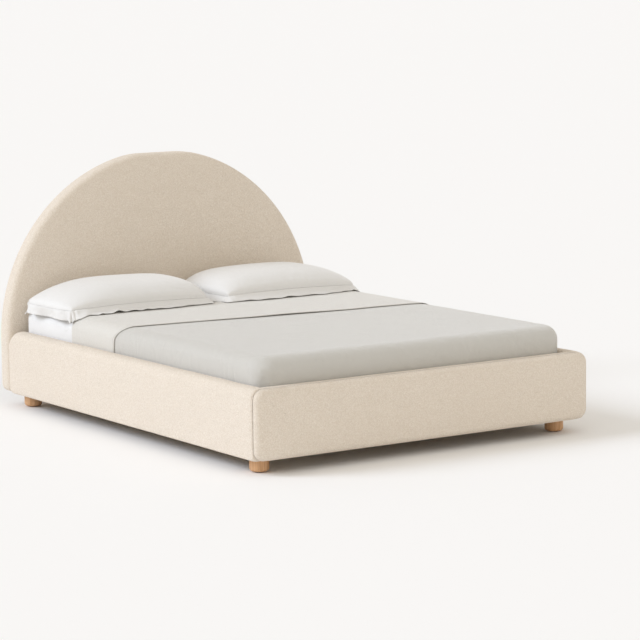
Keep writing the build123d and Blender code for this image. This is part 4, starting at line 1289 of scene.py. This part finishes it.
def build_coverlet():
    """The lower layer, the folded nose and the flap."""
    points, normals, places, faces, number, rows = form_shell(LOWER_GROWTH, TUCK_BOTTOM)
    lift = ripple(points, normals) + corner_tuck(points, normals)
    points = points + normals * lift[:, None]
    keep = points[:, 1] <= FOLD_LINE + 1e-5
    kept_faces = [face for face in faces if all(keep[i] for i in face)]
    profile = across_fold(number, rows)
    base = points[profile]
    upper, upper_normals, _, _, *upper_form = form_shell(FLAP_GROWTH, TUCK_BOTTOM + 0.004)
    upper_profile = across_fold(*upper_form)
    upper, upper_normals = upper[upper_profile], upper_normals[upper_profile]
    if len(upper) != len(base):
        raise ValueError("the flap and the lower layer have different numbers of columns")
    cloth_across = places[profile, 0]
    edge = flap_edge(cloth_across)
    all_points, new_places, new_rows, new_hem = list(points), [], [profile], []
    for angle in np.radians((30, 60, 90, 120, 150)):
        share = (1 - math.cos(angle)) / 2
        row = base + (upper - base) * share
        row[:, 1] = FOLD_LINE + NOSE * math.sin(angle)
        add_row(all_points, new_rows, row)
        new_places.extend((x, FOLD_LINE + 0.01 * angle, 0) for x in cloth_across)
        new_hem.extend([1.0] * len(row))
    for share in np.linspace(0, 1, FLAP_ROWS):
        row = flap_row(upper, upper_normals, cloth_across, edge, share)
        add_row(all_points, new_rows, row)
        new_places.extend((x, 2 * FOLD_LINE - y, 0) for x, y in zip(cloth_across, row[:, 1]))
        new_hem.extend(row[:, 1] - edge - HEM_WIDTH)
    flap_faces = join_rows(new_rows, closed=False)
    all_points, all_places = np.array(all_points), np.vstack([places, new_places])
    all_faces = kept_faces + flap_faces
    used = sorted({i for face in all_faces for i in face})
    renumber = {old: new for new, old in enumerate(used)}
    all_faces = [tuple(renumber[i] for i in face) for face in all_faces]
    finish_of_face = [0] * len(kept_faces) + [1] * len(flap_faces)
    hem = np.concatenate([np.ones(len(points)), new_hem])
    piece = make_piece("coverlet_cloth", all_points[used], all_faces, [coverlet_face, coverlet_reverse],
                       finish_of_face=finish_of_face, places=all_places[used], seam=hem[used])
    return thicken(piece, CLOTH)


coverlet_piece = build_coverlet()
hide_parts("coverlet")
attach(coverlet_piece, "mattress")
print("coverlet:", len(coverlet_piece.data.polygons), "faces")

# %% [markdown]
# ## The pillows
#
# Each pillow is a soft filling in a case with a flat flange all round, held to it by one stitched seam. Two flat
# panels blown up by pressure are another way to make it, but they give a ball instead of the low, broad crown that
# shows here. So the filled body is formed directly: a crown over a rounded rectangle, fuller towards the middle of
# the bed, drawn in at its corners and puckered along its seam. The flange hangs freely, so the flange alone is
# simulated: the body is pinned, and gravity and the bed below let the flange droop. Afterwards top and bottom are
# closed into one case with a thin double flange.

# %% Pillow panels
PILLOW_CELLS = (58, 38)
FLANGE_CELLS, FLANGE_WIDTH = 4, 0.048
PILLOW_HALF = (0.362, 0.226)
PILLOW_CROWN = 0.094
CORNER_DRAW = 0.020
SEAM_BULGE = 0.007


def pillow_body(u, v, side):
    """How full a pillow is, from 0 to 1: fuller at its inner end, and lean at its outer back corner."""
    inner_end = ease(0.5 - 0.5 * u * side)
    along = (1 - np.abs(u) ** (2.5 + 2.5 * inner_end)) ** (0.50 - 0.12 * inner_end)
    return along * (1 - np.abs(v) ** 2.5) ** 0.42 * (1 - 0.6 * np.clip(u * side, 0, 1) ** 3 * np.clip(v, 0, 1) ** 2)


def flange_slopes(u, v, past_x, past_y, side):
    """How steeply the flange hangs, beyond the pillow's ends and beyond its long sides."""
    outer = 34 + 40 * np.clip(-v, 0, 1) ** 2 - 30 * np.clip(v, 0, 1)
    front = 42 + 26 * (u * side > 0.95)
    return np.radians(np.where(past_x * side < 0, 66, outer)), np.radians(np.where(past_y < 0, front, 30))


def pillow_panels(centre, seam_height, side, seed):
    """A sewn case about a centre: a crowned top panel with its flange, and a flat bottom panel inside the seam."""
    columns, lines = (cells + 2 * FLANGE_CELLS + 1 for cells in PILLOW_CELLS)
    step = FLANGE_WIDTH / FLANGE_CELLS
    steps_x, steps_y = np.arange(columns) - (columns - 1) / 2, np.arange(lines) - (lines - 1) / 2
    top = np.arange(columns * lines).reshape(lines, columns)
    low_x, high_x = FLANGE_CELLS, columns - 1 - FLANGE_CELLS
    low_y, high_y = FLANGE_CELLS, lines - 1 - FLANGE_CELLS
    end_x, end_y = PILLOW_CELLS[0] / 2, PILLOW_CELLS[1] / 2
    u, v = np.meshgrid(np.sin(np.clip(steps_x / end_x, -1, 1) * math.pi / 2),
                       np.sin(np.clip(steps_y / end_y, -1, 1) * math.pi / 2))
    past_x, past_y = np.meshgrid((steps_x - np.clip(steps_x, -end_x, end_x)) * step,
                                 (steps_y - np.clip(steps_y, -end_y, end_y)) * step)
    body = pillow_body(u, v, side)
    slope_x, slope_y = flange_slopes(u, v, past_x, past_y, side)
    reach = np.clip(np.hypot(past_x, past_y) / FLANGE_WIDTH, 0, 1)
    bulge = SEAM_BULGE * np.sin(math.pi * np.clip(1.8 * body, 0, 1)) * (reach == 0)
    half_x = PILLOW_HALF[0] - (CORNER_DRAW + 0.014 * (v > 0)) * v ** 4 * np.abs(u)
    x = u * half_x + bulge * np.sign(u) * np.abs(u) ** 12 + past_x * np.cos(slope_x)
    half_y = PILLOW_HALF[1] - CORNER_DRAW * 0.4 * u ** 4 * np.abs(v)
    y = v * half_y + bulge * np.sign(v) * np.abs(v) ** 12 + past_y * np.cos(slope_y)
    seam = seam_height - 0.010 * u ** 2
    z = seam + PILLOW_CROWN * body - np.hypot(past_x * np.sin(slope_x), past_y * np.sin(slope_y))
    z += 0.006 * np.sin(math.pi * np.clip(2.2 * reach, 0, 1)) - 0.003 * (reach == 0) * (body < 0.02)
    points = list(zip((centre[0] + x).ravel(), (centre[1] + y).ravel(), z.ravel()))
    bottom = top.copy()
    belly = ease(np.minimum(7 * (1 - np.abs(u)), 4.5 * (1 - np.abs(v))))
    low = seam + (mattress_high.z + 0.0045 - seam) * belly
    for j in range(low_y + 1, high_y):
        for i in range(low_x + 1, high_x):
            bottom[j, i] = len(points)
            points.append((centre[0] + x[j, i], centre[1] + y[j, i], low[j, i]))
    faces = grid_faces(top) + grid_faces(bottom[low_y:high_y + 1, low_x:high_x + 1], upwards=False)
    points = np.array(points)
    reach = reach.ravel()
    on_top = slice(0, top.size)
    near_seam = np.minimum(PILLOW_HALF[0] * (1 - np.abs(u)), PILLOW_HALF[1] * (1 - np.abs(v))).ravel()
    pucker = np.exp(-near_seam / 0.030) * (reach == 0) * np.clip(near_seam / 0.006, 0, 1)
    wave = 0.026 * reach * unevenness(points[on_top], 0.060, seed)
    flat = points[on_top] * np.array([1, 1, 0])
    dent = 0.0030 * (reach == 0) * body.ravel() * unevenness(flat, 0.17, seed + 1)
    dent += 0.0022 * pucker * unevenness(flat, 0.026, seed + 2)
    points[on_top, 2] += wave + dent
    held = np.unique(np.concatenate([top[low_y:high_y + 1, low_x:high_x + 1].ravel(),
                                     bottom[low_y + 1:high_y, low_x + 1:high_x].ravel()]))
    inside_x, inside_y = end_x - np.abs(steps_x), end_y - np.abs(steps_y)
    seam_steps = np.minimum(inside_x[None, :], inside_y[:, None])
    return {"points": points, "faces": faces, "top": top, "bottom": bottom, "xs": steps_x * step,
            "ys": steps_y * step, "inner": (low_x, high_x, low_y, high_y), "held": held,
            "seam": -seam_steps.ravel() * step}


panels = pillow_panels((0, 0), 0.5, -1, 1)
print("pillow panels:", len(panels["points"]), "points")

# %% What the pillows rest on


def make_obstacle(name, points, lines, friction):
    """A plain surface from a grid of points, which settling cloth can't pass."""
    number = np.arange(len(points)).reshape(lines, -1)
    piece = make_piece(name, points, join_rows(number, closed=False), [sheet_cotton])
    piece.modifiers.new("obstacle", "COLLISION")
    piece.collision.thickness_outer = 0.002
    piece.collision.cloth_friction = friction
    return piece


def build_rest():
    """A plain copy of the made bed's top, for the pillows to lie on while they settle."""
    half, top, roll = mattress_high.x + 0.003, mattress_high.z + 0.0025, FORM_ROLL
    sides = [(-half, 0.26), (-half, 0.34)] + corner_arc((-half + roll, top - roll), roll, 180, 90, 5)
    across = sides + [(x, top) for x in np.linspace(-0.6, 0.6, 9)] + [(-x, z) for x, z in sides[::-1]]
    along = [(0.30, 0.006), (FOLD_LINE - 0.012, 0.006), (FOLD_LINE + 0.006, 0.004), (FOLD_LINE + 0.010, 0), (0.75, 0),
             (mattress_high.y - 0.03, 0), (mattress_high.y, -0.02)]
    return make_obstacle("pillow_rest", [(x, y, z + step) for y, step in along for x, z in across], len(along), 12)


def build_headboard_stop():
    """An upright sheet just in front of the headboard, which keeps the pillows off it."""
    y, heights = HEAD_FRONT - 0.004, np.linspace(0.35, 0.75, 3)
    points = [(x, y, z) for z in heights for x in np.linspace(-0.95, 0.95, 8)]
    return make_obstacle("headboard_stop", points, len(heights), 5)


rest_piece = build_rest()
stop_piece = build_headboard_stop()
print("rest and stop ready")

# %% Settle one pillowcase
SETTLE_FRAMES = 30
CASE_CLOTH = {"quality": 6, "mass": 0.25, "tension_stiffness": 25, "compression_stiffness": 25,
              "shear_stiffness": 8, "bending_stiffness": 0.5, "air_damping": 2.5}
SEAM_LIFT = 0.045
PILLOW_SHIFTS = {"left": Vector((0.004, -0.026)), "right": Vector((0.008, -0.040))}


def settle_case(name, centre, side, seed, frames):
    """Simulates a case whose flange hangs from its filled body. Returns its panels with their settled points."""
    panels = pillow_panels(centre, mattress_high.z + SEAM_LIFT, side, seed)
    piece = make_piece(name, panels["points"], panels["faces"], [pillowcase_cotton])
    group = piece.vertex_groups.new(name="filled")
    group.add([int(i) for i in panels["held"]], 1.0, "REPLACE")
    cloth = piece.modifiers.new("cloth", "CLOTH")
    for key, value in CASE_CLOTH.items():
        setattr(cloth.settings, key, value)
    cloth.settings.vertex_group_mass = "filled"
    cloth.settings.effector_weights.gravity = 0.12
    cloth.collision_settings.use_collision = True
    cloth.collision_settings.distance_min = 0.002
    cloth.collision_settings.collision_quality = 3
    cloth.point_cache.frame_start = 1
    cloth.point_cache.frame_end = frames
    scene.frame_start, scene.frame_end = 1, frames
    for step in range(1, frames + 1):
        scene.frame_set(step)
    shown = piece.evaluated_get(bpy.context.evaluated_depsgraph_get())
    settled = np.zeros(len(shown.data.vertices) * 3, np.float32)
    shown.data.vertices.foreach_get("co", settled)
    panels["settled"] = settled.reshape(-1, 3).astype(float)
    bpy.data.objects.remove(piece)
    scene.frame_set(1)
    return panels


pillow_boxes = {name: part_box(f"pillowcase_{name}") for name in ("left", "right")}
pillow_centres = {name: ((low.x + high.x) / 2, (low.y + high.y) / 2) for name, (low, high) in pillow_boxes.items()}
frames = SETTLE_FRAMES
settled_pillows = {}
for side, seed, (name, centre) in zip((-1, 1), (41, 47), pillow_centres.items()):
    middle = (centre[0] + PILLOW_SHIFTS[name].x, centre[1] + PILLOW_SHIFTS[name].y)
    settled_pillows[name] = settle_case(f"pillow_{name}_sim", middle, side, seed, frames)
    spread = settled_pillows[name]["settled"]
    print(name, "pillow settled:", np.round(spread.min(0), 3), np.round(spread.max(0), 3))
for helper in (rest_piece, stop_piece):
    bpy.data.objects.remove(helper)

# %% Close the cases
FLANGE_HALF = 0.0012


def grid_normals(grid):
    """Unit normals of a grid of points, upwards."""
    du, dv = np.gradient(grid, axis=1), np.gradient(grid, axis=0)
    normal = np.cross(du, dv)
    return normal / np.maximum(np.linalg.norm(normal, axis=2), 1e-9)[..., None]


def close_case(name, panels):
    """One closed case: top, thin double flange and bottom, with the seam pinched between them."""
    settled, top, bottom = panels["settled"], panels["top"], panels["bottom"]
    low_x, high_x, low_y, high_y = panels["inner"]
    upper, lower = settled[top], settled[bottom]
    upward = grid_normals(upper)
    downward = -grid_normals(lower)
    flange = np.ones(top.shape, bool)
    flange[low_y + 1:high_y, low_x + 1:high_x] = False
    downward[flange] = -upward[flange]
    points = np.vstack([(upper + upward * FLANGE_HALF).reshape(-1, 3), (lower + downward * FLANGE_HALF).reshape(-1, 3)])
    number = np.arange(top.size).reshape(top.shape)
    under = number + top.size
    faces = grid_faces(number) + grid_faces(under, upwards=False) + bridge(grid_rim(under), grid_rim(number))
    flat = [(x, y, 0) for y in panels["ys"] for x in panels["xs"]]
    places = np.array(flat + [(x + 2, y, 0) for x, y, _ in flat])
    seam = np.concatenate([panels["seam"], panels["seam"]])
    piece = face_outwards(make_piece(name, points, faces, [pillowcase_cotton], places=places, seam=seam))
    smooth = piece.modifiers.new("smooth", "SUBSURF")
    smooth.levels = smooth.render_levels = 1
    bpy.context.view_layer.update()
    return settle(piece)


for name, panels in settled_pillows.items():
    piece = close_case(f"pillow_{name}_in_case", panels)
    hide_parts(f"pillow_{name}", f"pillowcase_{name}")
    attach(piece, f"{name}_pillow")
    print(piece.name, len(piece.data.polygons), "faces")
